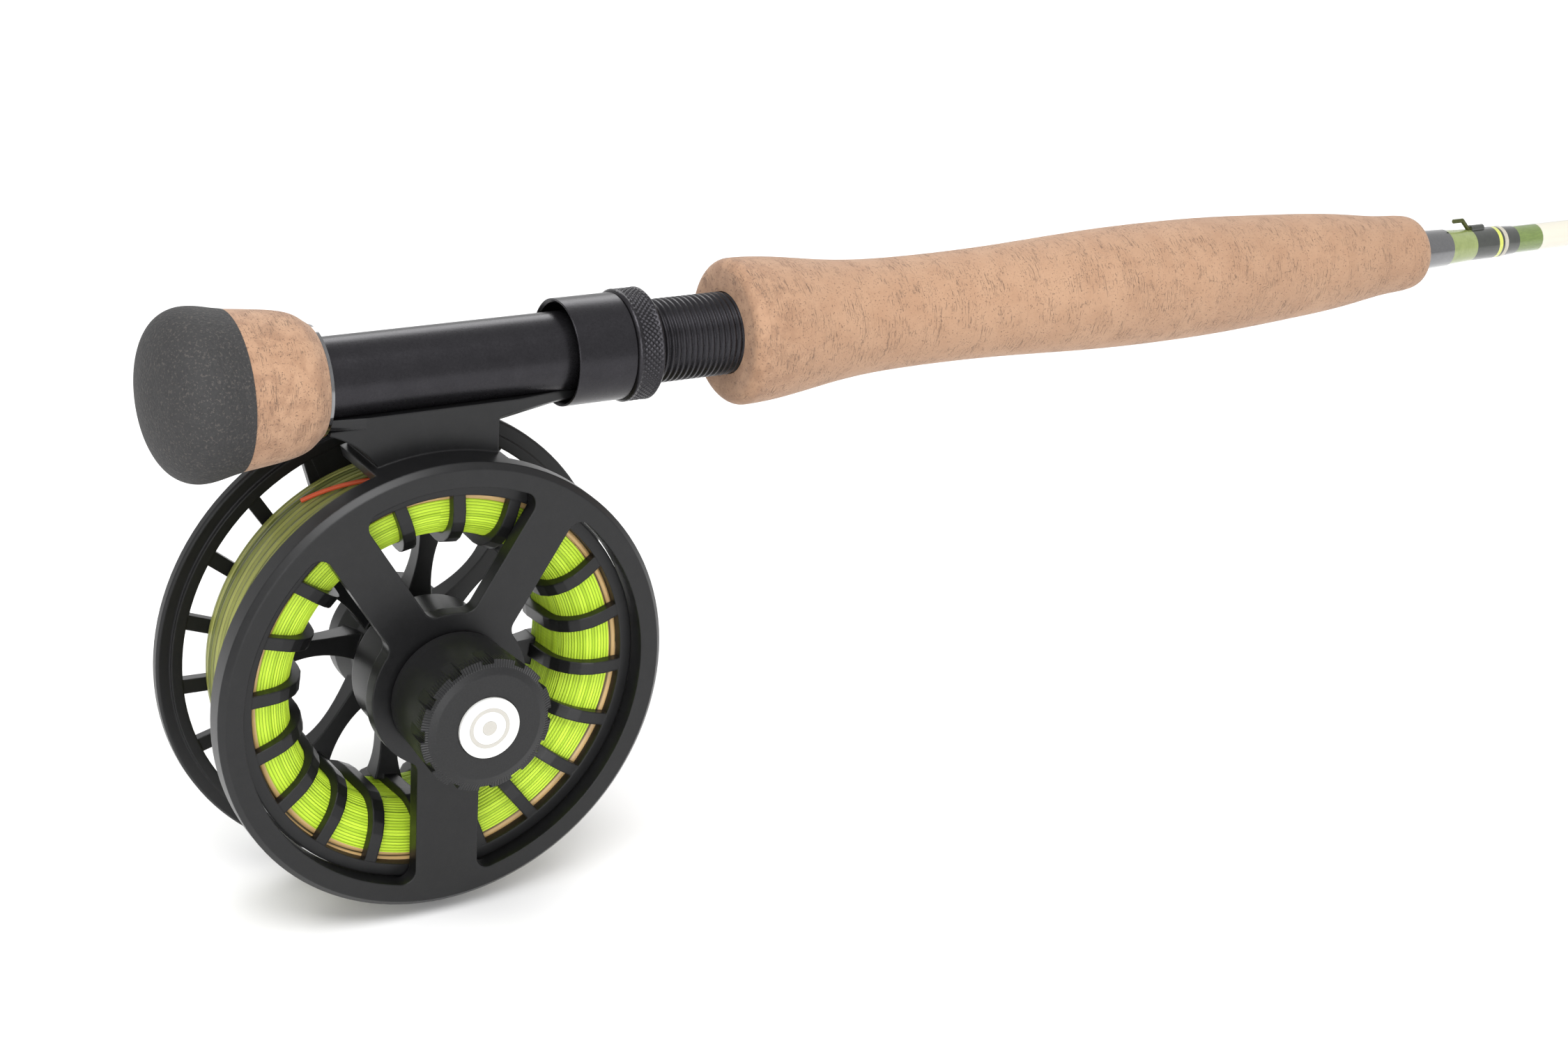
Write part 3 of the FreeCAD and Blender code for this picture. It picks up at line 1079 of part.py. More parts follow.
def make_spool_inside():
    """Clutch and bearing in the hub, cap, release button and its flat coil spring."""
    clutch = ring_y(ROTOR_SLEEVE_R + RUNNING, CLUTCH_R, CLUTCH_FRONT_Y, ROTOR_BACK_Y)
    node("one_way_clutch", to_reel(clutch))
    bearing = ring_y(SPINDLE_R + RUNNING, BEARING_R, BEARING_FRONT_Y + SLIP, BEARING_BACK_Y)
    node("spool_bearing", to_reel(bearing))
    cap_y = HUB_BACK_Y + SLIP
    cap_back = cap_y + HUB_CAP_THICKNESS
    cap = lathe_y([(BUTTON_R + RUNNING, cap_y), (HUB_CAP_R, cap_y),
                   (HUB_CAP_R, cap_y + HUB_CAP_FLAT * HUB_CAP_THICKNESS),
                   (HUB_CAP_R - HUB_CAP_BEVEL, cap_back),
                   (BUTTON_R + RUNNING, cap_back)])
    node("hub_cap", to_reel(cap))
    flange_back = HUB_BACK_Y - BUTTON_REST_GAP
    button = lathe_y([(0, flange_back - BUTTON_FLANGE), (BUTTON_FLANGE_R, flange_back - BUTTON_FLANGE),
                      (BUTTON_FLANGE_R, flange_back), (BUTTON_R, flange_back),
                      (BUTTON_R, BUTTON_BACK_Y - BUTTON_BEVEL),
                      (BUTTON_R - BUTTON_BEVEL, BUTTON_BACK_Y), (0, BUTTON_BACK_Y)])
    node("release_button", to_reel(button))
    spring_front = BEARING_BACK_Y + 2 * SLIP
    node("button_spring", to_reel(ring_y(button_spring_bore_r, BUTTON_SPRING_R, spring_front,
                                         spring_front + BUTTON_SPRING)))


def make_handle():
    """Winding handle: shouldered post with a head, and a turned grip that spins on it."""
    seat_y = RIB_FAR_Y + SECTOR_HALF + SLIP
    start = seat_y + POST_SHOULDER
    grip0 = start + HANDLE_END_GAP
    grip1 = grip0 + HANDLE_LENGTH
    head = grip1 + HANDLE_END_GAP
    place = polar(handle_circle_r, HANDLE_ANGLE)
    post = lathe_y([(0, RIB_FAR_Y - SECTOR_HALF), (POST_R, RIB_FAR_Y - SECTOR_HALF), (POST_R, seat_y),
                    (POST_SHOULDER_R, seat_y), (POST_SHOULDER_R, start), (POST_R, start), (POST_R, head),
                    (POST_HEAD_R, head), (POST_HEAD_R, head + POST_HEAD_FLAT * POST_HEAD),
                    (POST_HEAD_R - POST_HEAD_BEVEL, head + POST_HEAD), (0, head + POST_HEAD)])
    post.translate(place)
    node("handle_post", to_reel(post))
    bore = POST_R + RUNNING
    grip = lathe_y([(bore, grip0), (HANDLE_BASE_R - HANDLE_BASE_BEVEL, grip0),
                    (HANDLE_BASE_R, grip0 + HANDLE_BASE_EDGE), (HANDLE_BASE_R, grip0 + HANDLE_BASE_BAND),
                    (HANDLE_WAIST_R, grip0 + HANDLE_WAIST_AT * HANDLE_LENGTH),
                    (HANDLE_WAIST_R + HANDLE_RISE, grip0 + HANDLE_RISE_AT * HANDLE_LENGTH),
                    (HANDLE_SWELL_R, grip0 + HANDLE_SWELL_AT * HANDLE_LENGTH),
                    (HANDLE_SWELL_R - HANDLE_END_DROP, grip1 - HANDLE_END_BACK),
                    (HANDLE_SWELL_R - HANDLE_END_BEVEL, grip1), (bore, grip1)])
    grip.translate(place)
    node("handle_grip", to_reel(grip))


# ------------------------------------------------------------------ line

def make_line():
    """Backing in the spool's channel, fly line over it and the bright tag end across the turns."""
    near_y, far_y = RIB_NEAR_Y + pack_side, RIB_FAR_Y - pack_side
    floor_r = ARBOR_R + pack_side
    near_bend, far_bend = RIB_NEAR_BEND - pack_side, RIB_FAR_BEND - pack_side
    bevel = 1 - math.sqrt(0.5)

    def spot(r, y):
        return V(r, y, 0)

    near_mid = spot(floor_r + near_bend * bevel, near_y + near_bend * bevel)
    far_mid = spot(floor_r + far_bend * bevel, far_y - far_bend * bevel)
    edges = [Part.LineSegment(spot(backing_r, near_y), spot(floor_r + near_bend, near_y)).toShape(),
             Part.Arc(spot(floor_r + near_bend, near_y), near_mid,
                      spot(floor_r, near_y + near_bend)).toShape(),
             Part.LineSegment(spot(floor_r, near_y + near_bend), spot(floor_r, far_y - far_bend)).toShape(),
             Part.Arc(spot(floor_r, far_y - far_bend), far_mid, spot(floor_r + far_bend, far_y)).toShape(),
             Part.LineSegment(spot(floor_r + far_bend, far_y), spot(backing_r, far_y)).toShape(),
             Part.LineSegment(spot(backing_r, far_y), spot(backing_r, near_y)).toShape()]
    backing = Part.Face(Part.Wire(edges)).revolve(V(0, 0, 0), V(0, 1, 0), 360)
    node("backing", to_reel(backing))
    base = backing_r + SLIP
    node("fly_line", to_reel(lathe_y([
        (base, near_y), (line_near_r, near_y), (line_r - LINE_SHOULDER_DROP, near_y + LINE_SHOULDER_AT),
        (line_r, near_y + LINE_LEVEL_AT), (line_r, far_y - LINE_SHOULDER_AT), (line_far_r, far_y),
        (base, far_y)])))
    tag = Part.makeTorus(tag_ring_r, TAG_R, V(0, 0, 0), V(0, 1, 0), 0, 360, TAG_ARC)
    start = tag.BoundBox.Center
    lean = math.degrees(math.atan2(start.z, start.x))
    tag = around_spindle(tag, -lean)
    tag.rotate(V(0, 0, 0), V(-1, 0, 0), TAG_SKEW)
    tag = around_spindle(tag, TAG_MIDDLE_ANGLE)
    tag.translate(V(0, TAG_MIDDLE_Y, 0))
    node("line_tag", to_reel(tag))


def main():
    os.makedirs("parts", exist_ok=True)
    for make in (make_butt_pad, make_butt_cork, make_fixed_hood, make_reel_seat_tube, make_seat_bushings,
                 make_cork_grip, make_sliding_hood, make_locking_nut, make_trim, make_rod, make_tip_top,
                 make_reel_frame, make_drag, make_drag_knob, make_spool, make_spool_inside, make_handle,
                 make_line):
        make()
    for name, shape in nodes.items():
        shape.exportStep("parts/" + name + ".step")
        state = "valid" if shape.isValid() else "BAD"
        print(name, len(shape.Solids), "solids", round(shape.Volume, 1), "mm3", state)


main()
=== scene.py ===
import json
import math

import bpy
from mathutils import Matrix, Vector


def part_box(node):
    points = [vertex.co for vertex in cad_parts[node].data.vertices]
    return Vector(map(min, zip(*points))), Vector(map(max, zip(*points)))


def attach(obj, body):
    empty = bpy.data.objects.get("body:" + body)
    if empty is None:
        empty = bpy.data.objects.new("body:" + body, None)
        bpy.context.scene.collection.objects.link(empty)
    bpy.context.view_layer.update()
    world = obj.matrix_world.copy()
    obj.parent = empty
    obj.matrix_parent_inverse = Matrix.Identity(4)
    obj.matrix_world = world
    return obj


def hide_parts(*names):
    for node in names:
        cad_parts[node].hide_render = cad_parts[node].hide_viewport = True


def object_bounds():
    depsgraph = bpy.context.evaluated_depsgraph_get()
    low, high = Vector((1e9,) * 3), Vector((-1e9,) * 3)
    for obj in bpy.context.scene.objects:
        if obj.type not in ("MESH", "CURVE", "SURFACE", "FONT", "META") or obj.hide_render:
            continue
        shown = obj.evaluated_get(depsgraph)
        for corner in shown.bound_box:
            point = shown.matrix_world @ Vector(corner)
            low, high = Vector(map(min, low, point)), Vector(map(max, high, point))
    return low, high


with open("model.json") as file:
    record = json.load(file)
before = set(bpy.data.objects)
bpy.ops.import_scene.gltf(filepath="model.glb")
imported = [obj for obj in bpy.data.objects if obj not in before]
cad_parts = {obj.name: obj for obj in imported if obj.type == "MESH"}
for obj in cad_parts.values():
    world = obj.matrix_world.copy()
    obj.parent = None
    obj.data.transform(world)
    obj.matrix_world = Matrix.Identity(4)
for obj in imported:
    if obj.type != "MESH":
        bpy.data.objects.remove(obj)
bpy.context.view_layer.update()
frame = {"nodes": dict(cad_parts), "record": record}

nodes = frame["nodes"]


def centre_of(node):
    low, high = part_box(node)
    return (low + high) / 2


REEL = centre_of("spindle")          # the spindle's axis runs along Y

# millimetres along the rod, from the middle of the grip
CORK_RING = 12.7
CREAM_BAND = (131.35, 143.75)
BAND_EDGE = 0.35
WORN_CORK = (-70.0, -91.0)           # handling marks grow from the first place to the second

# millimetres about the spindle: radius, or place along Y
TOOL_MARKS = 26.0                    # radians of turned groove per millimetre
MARK_RING_R = 3.7
MARK_DOT_R = 1.45
KNURL_R = (11.9, 12.2)
KNURL_Y = (-21.0, -23.5)
KNURL_LINES = 150.0
PALE_STRAND_Y = 2.6                  # the fly line's strands are tan on the near side of this

# metres
BACKING_THICKNESS = 0.00062
FLY_LINE_THICKNESS = 0.0016
NUT_CHAMFER = 0.0005
NUT_KNURL_DEPTH = 0.00035
FLOOR_HALF = 9.0
FLOOR_GAP = 0.0005

NUT_TEETH = 60
EDGE_ANGLE = 32.0                    # degrees; edges sharper than this stay crisp


# ---------------------------------------------------------------- materials

class Shader:
    """A small node tree: Principled surface, colour from noise, bumps chained one after another."""

    def __init__(self, name):
        self.material = bpy.data.materials.new(name)
        self.material.use_nodes = True
        self.tree = self.material.node_tree
        self.tree.nodes.clear()
        out = self.new("ShaderNodeOutputMaterial")
        self.surface = self.new("ShaderNodeBsdfPrincipled")
        self.join(self.surface.outputs[0], out.inputs[0])
        place = self.new("ShaderNodeTexCoord").outputs["Object"]
        scale = self.new("ShaderNodeVectorMath")
        scale.operation = "SCALE"
        scale.inputs["Scale"].default_value = 1000.0
        self.join(place, scale.inputs[0])
        self.mm = scale.outputs[0]
        self.height = None

    def new(self, kind):
        return self.tree.nodes.new(kind)

    def join(self, a, b):
        self.tree.links.new(a, b)

    def feed(self, value, socket):
        if isinstance(value, (int, float)):
            socket.default_value = value
        else:
            self.join(value, socket)

    def math(self, operation, a, b=0.0):
        n = self.new("ShaderNodeMath")
        n.operation = operation
        self.feed(a, n.inputs[0])
        self.feed(b, n.inputs[1])
        return n.outputs[0]

    def axes(self, origin=(0.0, 0.0, 0.0)):
        """x, y, z in millimetres from a point given in metres."""
        moved = self.new("ShaderNodeVectorMath")
        moved.operation = "SUBTRACT"
        moved.inputs[1].default_value = [1000.0 * c for c in origin]
        self.join(self.mm, moved.inputs[0])
        split = self.new("ShaderNodeSeparateXYZ")
        self.join(moved.outputs[0], split.inputs[0])
        return split.outputs

    def noise(self, scale, detail=4.0, rough=0.6, vector=None):
        n = self.new("ShaderNodeTexNoise")
        n.inputs["Scale"].default_value = scale
        n.inputs["Detail"].default_value = detail
        n.inputs["Roughness"].default_value = rough
        self.join(vector or self.mm, n.inputs["Vector"])
        return n.outputs["Fac"]

    def cells(self, scale, vector=None):
        n = self.new("ShaderNodeTexVoronoi")
        n.inputs["Scale"].default_value = scale
        self.join(vector or self.mm, n.inputs["Vector"])
        return n.outputs["Distance"]

    def stretched(self, x, y, z):
        n = self.new("ShaderNodeVectorMath")
        n.operation = "MULTIPLY"
        n.inputs[1].default_value = (x, y, z)
        self.join(self.mm, n.inputs[0])
        return n.outputs[0]

    def window(self, value, low, high):
        """0 below low, 1 above high (or the other way round), eased between."""
        n = self.new("ShaderNodeMapRange")
        n.interpolation_type = "SMOOTHSTEP"
        flip = low > high
        self.feed(value, n.inputs["Value"])
        n.inputs["From Min"].default_value = min(low, high)
        n.inputs["From Max"].default_value = max(low, high)
        n.inputs["To Min"].default_value = 1.0 if flip else 0.0
        n.inputs["To Max"].default_value = 0.0 if flip else 1.0
        return n.outputs["Result"]

    def mix(self, fac, a, b):
        n = self.new("ShaderNodeMix")
        n.data_type = "RGBA"
        self.feed(fac, n.inputs[0])
        for value, socket in ((a, n.inputs[6]), (b, n.inputs[7])):
            if isinstance(value, tuple):
                socket.default_value = (*value, 1.0)
            else:
                self.join(value, socket)
        return n.outputs[2]

    def bump(self, height, millimetres):
        n = self.new("ShaderNodeBump")
        n.inputs["Strength"].default_value = 1.0
        n.inputs["Distance"].default_value = millimetres / 1000.0
        self.join(height, n.inputs["Height"])
        if self.height is not None:
            self.join(self.height, n.inputs["Normal"])
        self.height = n.outputs["Normal"]

    def soft_edges(self, millimetres):
        """Rounds the look of sharp edges; called before any bump."""
        n = self.new("ShaderNodeBevel")
        n.samples = 4
        n.inputs["Radius"].default_value = millimetres / 1000.0
        self.height = n.outputs[0]

    def colour(self, value):
        if isinstance(value, tuple):
            self.surface.inputs["Base Color"].default_value = (*value, 1.0)
        else:
            self.join(value, self.surface.inputs["Base Color"])

    def done(self, rough, metal=0.0, coat=0.0, sheen=0.0):
        self.feed(rough, self.surface.inputs["Roughness"])
        self.surface.inputs["Metallic"].default_value = metal
        self.surface.inputs["Coat Weight"].default_value = coat
        self.surface.inputs["Coat Roughness"].default_value = 0.06
        self.surface.inputs["Sheen Weight"].default_value = sheen
        if self.height is not None:
            self.join(self.height, self.surface.inputs["Normal"])
        return self.material


def plain(name, dark, light, rough, metal=0.0, coat=0.0, grain=1.5, depth=0.01, edges=0.0):
    """Cast, moulded or anodised surface: fine uneven colour, gloss and height."""
    s = Shader(name)
    if edges:
        s.soft_edges(edges)
    fine = s.noise(grain)
    broad = s.noise(grain * 0.12, 3.0)
    s.colour(s.mix(s.math("MULTIPLY", fine, broad), dark, light))
    s.bump(fine, depth)
    gloss = s.math("MULTIPLY_ADD", fine, 0.12)
    gloss.node.inputs[2].default_value = rough - 0.06
    return s.done(gloss, metal, coat)


def cork(name, tone):
    """Natural cork rings glued end to end: pits, fine dark cross grain, handling marks and faint seams."""
    s = Shader(name)
    x = s.axes()[0]
    along = s.math("ADD", x, s.math("MULTIPLY", s.noise(0.22, 3.0), 0.5))
    ring = s.math("FRACT", s.math("DIVIDE", along, CORK_RING))
    which = s.math("FLOOR", s.math("DIVIDE", along, CORK_RING))
    seam = s.window(s.math("ABSOLUTE", s.math("SUBTRACT", ring, 0.5)), 0.488, 0.499)
    own = s.new("ShaderNodeTexWhiteNoise")
    own.noise_dimensions = "1D"
    s.join(which, own.inputs["W"])
    light, dark = (0.385 * tone, 0.232 * tone, 0.142 * tone), (0.345 * tone, 0.200 * tone, 0.119 * tone)
    base = s.mix(s.window(s.noise(0.16, 4.0, 0.6), 0.34, 0.70), light, dark)
    base = s.mix(s.math("MULTIPLY", own.outputs["Value"], 0.22), base, (0.27, 0.15, 0.088))
    streak = s.window(s.noise(1.5, 5.0, 0.7, s.stretched(0.18, 1.0, 1.0)), 0.53, 0.68)
    base = s.mix(s.math("MULTIPLY", streak, 0.08), base, (0.25, 0.135, 0.08))
    across = s.window(s.noise(1.3, 5.0, 0.75, s.stretched(3.6, 0.30, 0.30)), 0.575, 0.61)
    sparse = s.window(s.noise(0.20, 3.0), 0.46, 0.58)
    fleck = s.math("MULTIPLY", across, sparse)
    speck = s.window(s.noise(2.8, 3.0, 0.6), 0.63, 0.67)
    pits = s.math("MAXIMUM", s.math("MULTIPLY", fleck, 0.85), speck)
    base = s.mix(s.math("MULTIPLY", pits, 0.55), base, (0.12, 0.060, 0.033))
    worn = s.math("MULTIPLY", s.window(x, *WORN_CORK), s.window(s.noise(0.35, 4.0), 0.40, 0.62))
    base = s.mix(s.math("MULTIPLY", worn, 0.45), base, (0.20, 0.105, 0.06))
    s.colour(s.mix(s.math("MULTIPLY", seam, 0.20), base, (0.17, 0.09, 0.05)))
    s.bump(s.noise(5.0, 3.0), 0.03)
    s.bump(s.math("SUBTRACT", 1.0, pits), 0.14)
    return s.done(0.82, sheen=0.1)


def rubber_cork(name):
    """Dark rubber with cork granules, faint grey and brown speckle."""
    s = Shader(name)
    grain = s.cells(1.6)
    chips = s.window(s.noise(2.2, 3.0, 0.6), 0.57, 0.62)
    base = s.mix(s.noise(0.7), (0.013, 0.013, 0.014), (0.030, 0.029, 0.029))
    base = s.mix(s.math("MULTIPLY", chips, 0.50), base, (0.085, 0.074, 0.066))
    s.colour(base)
    s.bump(grain, 0.12)
    s.bump(s.noise(4.0), 0.05)
    return s.done(0.78)


def thread_wrap(name, dark, light, pitch=0.22, tint_noise=0.7):
    """Wound thread under clear varnish: fine turns along X below a glossy coat, each turn painted lighter at
    its crest and darker where it meets the next as shade.
    """
    s = Shader(name)
    x = s.axes()[0]
    turns = s.math("ABSOLUTE", s.math("SINE", s.math("MULTIPLY", x, math.pi / pitch)))
    uneven = s.noise(tint_noise, 3.0)
    # painted shade between turns (dark at the joins, light at the crests), multiplied by uneven tone that
    # differs at random
    shade = s.math("MULTIPLY", turns, uneven)
    s.colour(s.mix(shade, dark, light))
    s.bump(turns, 0.012)
    return s.done(0.28, coat=1.0)


def blank_paint(name):
    """Clear-coated olive carbon blank with a soft woven grain."""
    s = Shader(name)
    along = s.noise(3.0, 3.0, 0.5, s.stretched(0.25, 1.0, 1.0))
    x = s.axes()[0]
    start, end = CREAM_BAND
    band = s.math("MULTIPLY", s.window(x, start, start + BAND_EDGE), s.window(x, end, end - BAND_EDGE))
    green = s.mix(along, (0.085, 0.13, 0.025), (0.16, 0.23, 0.05))
    s.colour(s.mix(band, green, (0.62, 0.59, 0.50)))
    s.bump(along, 0.006)
    return s.done(0.25, coat=1.0)


def turned(name, dark, light, rough, centre, metal=1.0):
    """Machined round piece: tool marks as circles about the Y axis."""
    s = Shader(name)
    x, y, z = s.axes(centre)
    r = s.math("SQRT", s.math("ADD", s.math("MULTIPLY", x, x), s.math("MULTIPLY", z, z)))
    marks = s.math("SINE", s.math("MULTIPLY", r, TOOL_MARKS))
    uneven = s.noise(1.2)
    s.colour(s.mix(uneven, dark, light))
    s.bump(s.math("MULTIPLY", marks, uneven), 0.012)
    return s.done(rough, metal)


def strand(name, tones, groove_shade, rough, fibres, edge=None):
    """Wound line: each turn has its own tone, the grooves between turns are painted dark as shade, fibres
    run along it.

    edge, where given, is the colour of the strands near the camera's side and the place along Y where
    they start.
    """
    s = Shader(name)
    uv = s.new("ShaderNodeUVMap").outputs["UV"]
    split = s.new("ShaderNodeSeparateXYZ")
    s.join(uv, split.inputs[0])
    round_angle, turn = split.outputs[0], split.outputs[1]
    own = s.new("ShaderNodeTexWhiteNoise")
    own.noise_dimensions = "1D"
    s.join(s.math("FLOOR", turn), own.inputs["W"])
    shade = s.mix(own.outputs["Value"], tones[0], tones[1])
    shade = s.mix(s.math("MULTIPLY", s.noise(0.22, 3.0), 0.35), shade, tones[0])
    if edge is not None:
        y = s.axes(REEL)[1]
        near = s.window(y, edge[1] + 0.4, edge[1] - 0.4)
        pale = s.window(own.outputs["Value"], 0.20, 0.40)
        shade = s.mix(s.math("MULTIPLY", near, pale), shade, edge[0])
    gap = s.math("ABSOLUTE", s.math("SUBTRACT", s.math("FRACT", turn), 0.5))
    # the groove colour darkens the edges of each turn: painted shade between turns
    s.colour(s.mix(s.window(gap, 0.30, 0.50), shade, groove_shade))
    twist = s.math("ADD", s.math("MULTIPLY", round_angle, fibres), s.math("MULTIPLY", turn, 12.0))
    s.bump(s.math("SINE", twist), 0.012)
    return s.done(rough)


black_reel = plain("black_reel", (0.005, 0.005, 0.0055), (0.015, 0.015, 0.016),
                   0.36, 0.30, grain=3.0, edges=0.5)
black_seat = plain("black_anodised", (0.024, 0.023, 0.026), (0.052, 0.050, 0.056),
                   0.29, 0.85, grain=2.0, edges=0.25)
gloss_black = plain("gloss_black", (0.17, 0.17, 0.175), (0.30, 0.30, 0.31), 0.14, 1.0, 1.0)
steel = turned("steel", (0.42, 0.42, 0.43), (0.62, 0.62, 0.62), 0.32, REEL)
brass = turned("brass", (0.48, 0.34, 0.12), (0.66, 0.50, 0.22), 0.34, REEL)


def ringed_disc(name):
    """Pale satin disc with a plain grey ring and dot let into it."""
    s = Shader(name)
    x, y, z = s.axes(REEL)
    r = s.math("SQRT", s.math("ADD", s.math("MULTIPLY", x, x), s.math("MULTIPLY", z, z)))
    ring = s.window(s.math("ABSOLUTE", s.math("SUBTRACT", r, MARK_RING_R)), 0.42, 0.34)
    dot = s.window(r, MARK_DOT_R + 0.05, MARK_DOT_R - 0.05)
    mark = s.math("MAXIMUM", ring, dot)
    face = s.mix(s.noise(2.0), (0.74, 0.74, 0.71), (0.84, 0.84, 0.82))
    s.colour(s.mix(s.math("MULTIPLY", mark, 0.85), face, (0.42, 0.40, 0.36)))
    s.bump(s.math("SUBTRACT", 1.0, mark), 0.10)
    s.bump(s.math("SINE", s.math("MULTIPLY", r, TOOL_MARKS)), 0.004)
    return s.done(0.42, 0.25)


def knurled(name):
    """Reel's black finish with fine upright knurling on the knob's lands, fading towards its base."""
    s = Shader(name)
    x, y, z = s.axes(REEL)
    angle = s.math("ARCTAN2", z, x)
    r = s.math("SQRT", s.math("ADD", s.math("MULTIPLY", x, x), s.math("MULTIPLY", z, z)))
    s.soft_edges(0.4)
    lines = s.math("SINE", s.math("MULTIPLY", angle, KNURL_LINES))
    side = s.window(r, *KNURL_R)
    front = s.window(y, *KNURL_Y)
    where = s.math("MULTIPLY", side, front)
    fine = s.noise(3.0)
    s.colour(s.mix(fine, (0.006, 0.006, 0.0065), (0.019, 0.019, 0.020)))
    s.bump(s.math("MULTIPLY", lines, where), 0.10)
    s.bump(fine, 0.01)
    return s.done(0.42, 0.35)


medallion = ringed_disc("medallion")

MATERIALS = {
    "rubber_cork": rubber_cork("rubber_cork"),
    "cork": cork("cork", 1.0),
    "gloss_black": gloss_black,
    "black_anodised": black_seat,
    "bushing": plain("bushing", (0.35, 0.35, 0.33), (0.5, 0.5, 0.48), 0.7),
    "dark_olive": plain("dark_olive", (0.06, 0.07, 0.02), (0.11, 0.12, 0.04), 0.35, 0.6),
    "olive_wrap": thread_wrap("olive_wrap", (0.15, 0.19, 0.05), (0.36, 0.42, 0.16)),
    "dark_wrap": thread_wrap("dark_wrap", (0.012, 0.014, 0.012), (0.05, 0.055, 0.045)),
    "yellow_wrap": thread_wrap("yellow_wrap", (0.40, 0.44, 0.04), (0.78, 0.80, 0.20)),
    "silver_wrap": thread_wrap("silver_wrap", (0.30, 0.27, 0.20), (0.72, 0.69, 0.60)),
    "olive_blank": blank_paint("olive_blank"),
    "guide_steel": plain("guide_steel", (0.45, 0.45, 0.47), (0.68, 0.68, 0.70), 0.2, 1.0),
    "ceramic": plain("ceramic", (0.03, 0.03, 0.035), (0.07, 0.07, 0.08), 0.16, 0.0, 0.6),
    "black_reel": black_reel,
    "steel": steel,
    "seal_rubber": plain("seal_rubber", (0.015, 0.015, 0.015), (0.04, 0.04, 0.04), 0.7),
    "carbon": plain("carbon", (0.015, 0.015, 0.016), (0.05, 0.05, 0.052), 0.6, grain=5.0),
    "brass": brass,
    "medallion": medallion,
    "backing": strand("backing", ((0.40, 0.60, 0.02), (0.62, 0.86, 0.05)), (0.16, 0.26, 0.01), 0.62, 260.0),
    "fly_line": strand("fly_line", ((0.075, 0.092, 0.013), (0.40, 0.41, 0.11)), (0.012, 0.014, 0.003),
                       0.36, 0.0, ((0.50, 0.33, 0.14), PALE_STRAND_Y)),
    "orange_line": plain("orange_line", (0.55, 0.07, 0.02), (0.85, 0.16, 0.05), 0.5, grain=4.0),
    "handle_black": plain("handle_black", (0.012, 0.012, 0.012), (0.04, 0.04, 0.04), 0.55),
}

for part in frame["record"]["subparts"]:
    mesh = nodes[part["node"]].data
    mesh.materials.clear()
    mesh.materials.append(MATERIALS[part["material_slot"]])
nodes["drag_knob"].data.materials[0] = knurled("knob_black")


# ---------------------------------------------------------------- pieces made by mesh code

def mesh_piece(name, verts, faces, material, body, smooth=True, uvs=None, replaces=()):
    mesh = bpy.data.meshes.new(name)
    mesh.from_pydata([tuple(v) for v in verts], [], faces)
    mesh.update()
    if uvs is not None:
        layer = mesh.uv_layers.new(name="UVMap")
        for loop in mesh.loops:
            layer.data[loop.index].uv = uvs[loop.vertex_index]
    if smooth:
        mesh.polygons.foreach_set("use_smooth", [True] * len(mesh.polygons))
    mesh.materials.append(material)
    obj = bpy.data.objects.new(name, mesh)
    bpy.context.scene.collection.objects.link(obj)
    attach(obj, body)
    if replaces:
        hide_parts(*replaces)
    return obj


def outline_points(path, step):
    """Points every `step` along a closed path, with the length so far and the outward normal."""
    spots, length = [], 0.0
    closed = path + [path[0]]
    for (r0, y0), (r1, y1) in zip(closed, closed[1:]):
        span = math.hypot(r1 - r0, y1 - y0)
        count = max(1, round(span / step))
        for i in range(count):
            t = i / count
            normal = ((y1 - y0) / span, (r0 - r1) / span)
            spots.append((r0 + t * (r1 - r0), y0 + t * (y1 - y0), length + t * span, normal))
        length += span
    return spots, length


def wound(name, path, line, samples, around, material, body, wander, replaces=()):
    """Turns of line wound about the spindle: a closed outline swept round, its surface beaded with turns."""
    spots, length = outline_points(path, line / samples)
    turns = round(length / line)
    verts, uvs, faces = [], [], []
    rows = len(spots)
    for k in range(around + 1):
        angle = math.pi / 2 + 2 * math.pi * k / around      # the seam hides below the reel's stem
        for r, y, s, (nr, ny) in spots:
            drift = wander * math.sin(3 * angle + 9.0 * s / length * 2 * math.pi)
            phase = turns * s / length + angle / (2 * math.pi) + drift
            across = 2 * (phase % 1.0) - 1
            height = -0.5 * line * (1 - math.sqrt(max(0.0, 1 - across ** 2)))
            rr, yy = r + nr * height, y + ny * height
            verts.append((REEL.x + rr * math.cos(angle), REEL.y + yy, REEL.z + rr * math.sin(angle)))
            uvs.append((angle, phase))
    for k in range(around):
        for i in range(rows):
            a, b = k * rows + i, k * rows + (i + 1) % rows
            faces.append((a, b, b + rows, a + rows))
    return mesh_piece(name, verts, faces, material, body, True, uvs, replaces)


def node_profile(node, bins):
    """Outline of a turned node from its own vertices, ordered round its middle: radius and place along Y."""
    found = {}
    for v in nodes[node].data.vertices:
        r = math.hypot(v.co.x - REEL.x, v.co.z - REEL.z)
        found[(round(r, bins), round(v.co.y - REEL.y, bins))] = (r, v.co.y - REEL.y)
    spots = list(found.values())
    mid_r = sum(p[0] for p in spots) / len(spots)
    mid_y = sum(p[1] for p in spots) / len(spots)
    spots.sort(key=lambda p: -math.atan2(p[0] - mid_r, p[1] - mid_y))
    return spots


wound("backing_turns", node_profile("backing", 6), BACKING_THICKNESS, 6, 200, MATERIALS["backing"],
      "spool_body", 0.06, ("backing",))
wound("fly_line_turns", node_profile("fly_line", 6), FLY_LINE_THICKNESS, 12, 300, MATERIALS["fly_line"],
      "spool_body", 0.14, ("fly_line",))


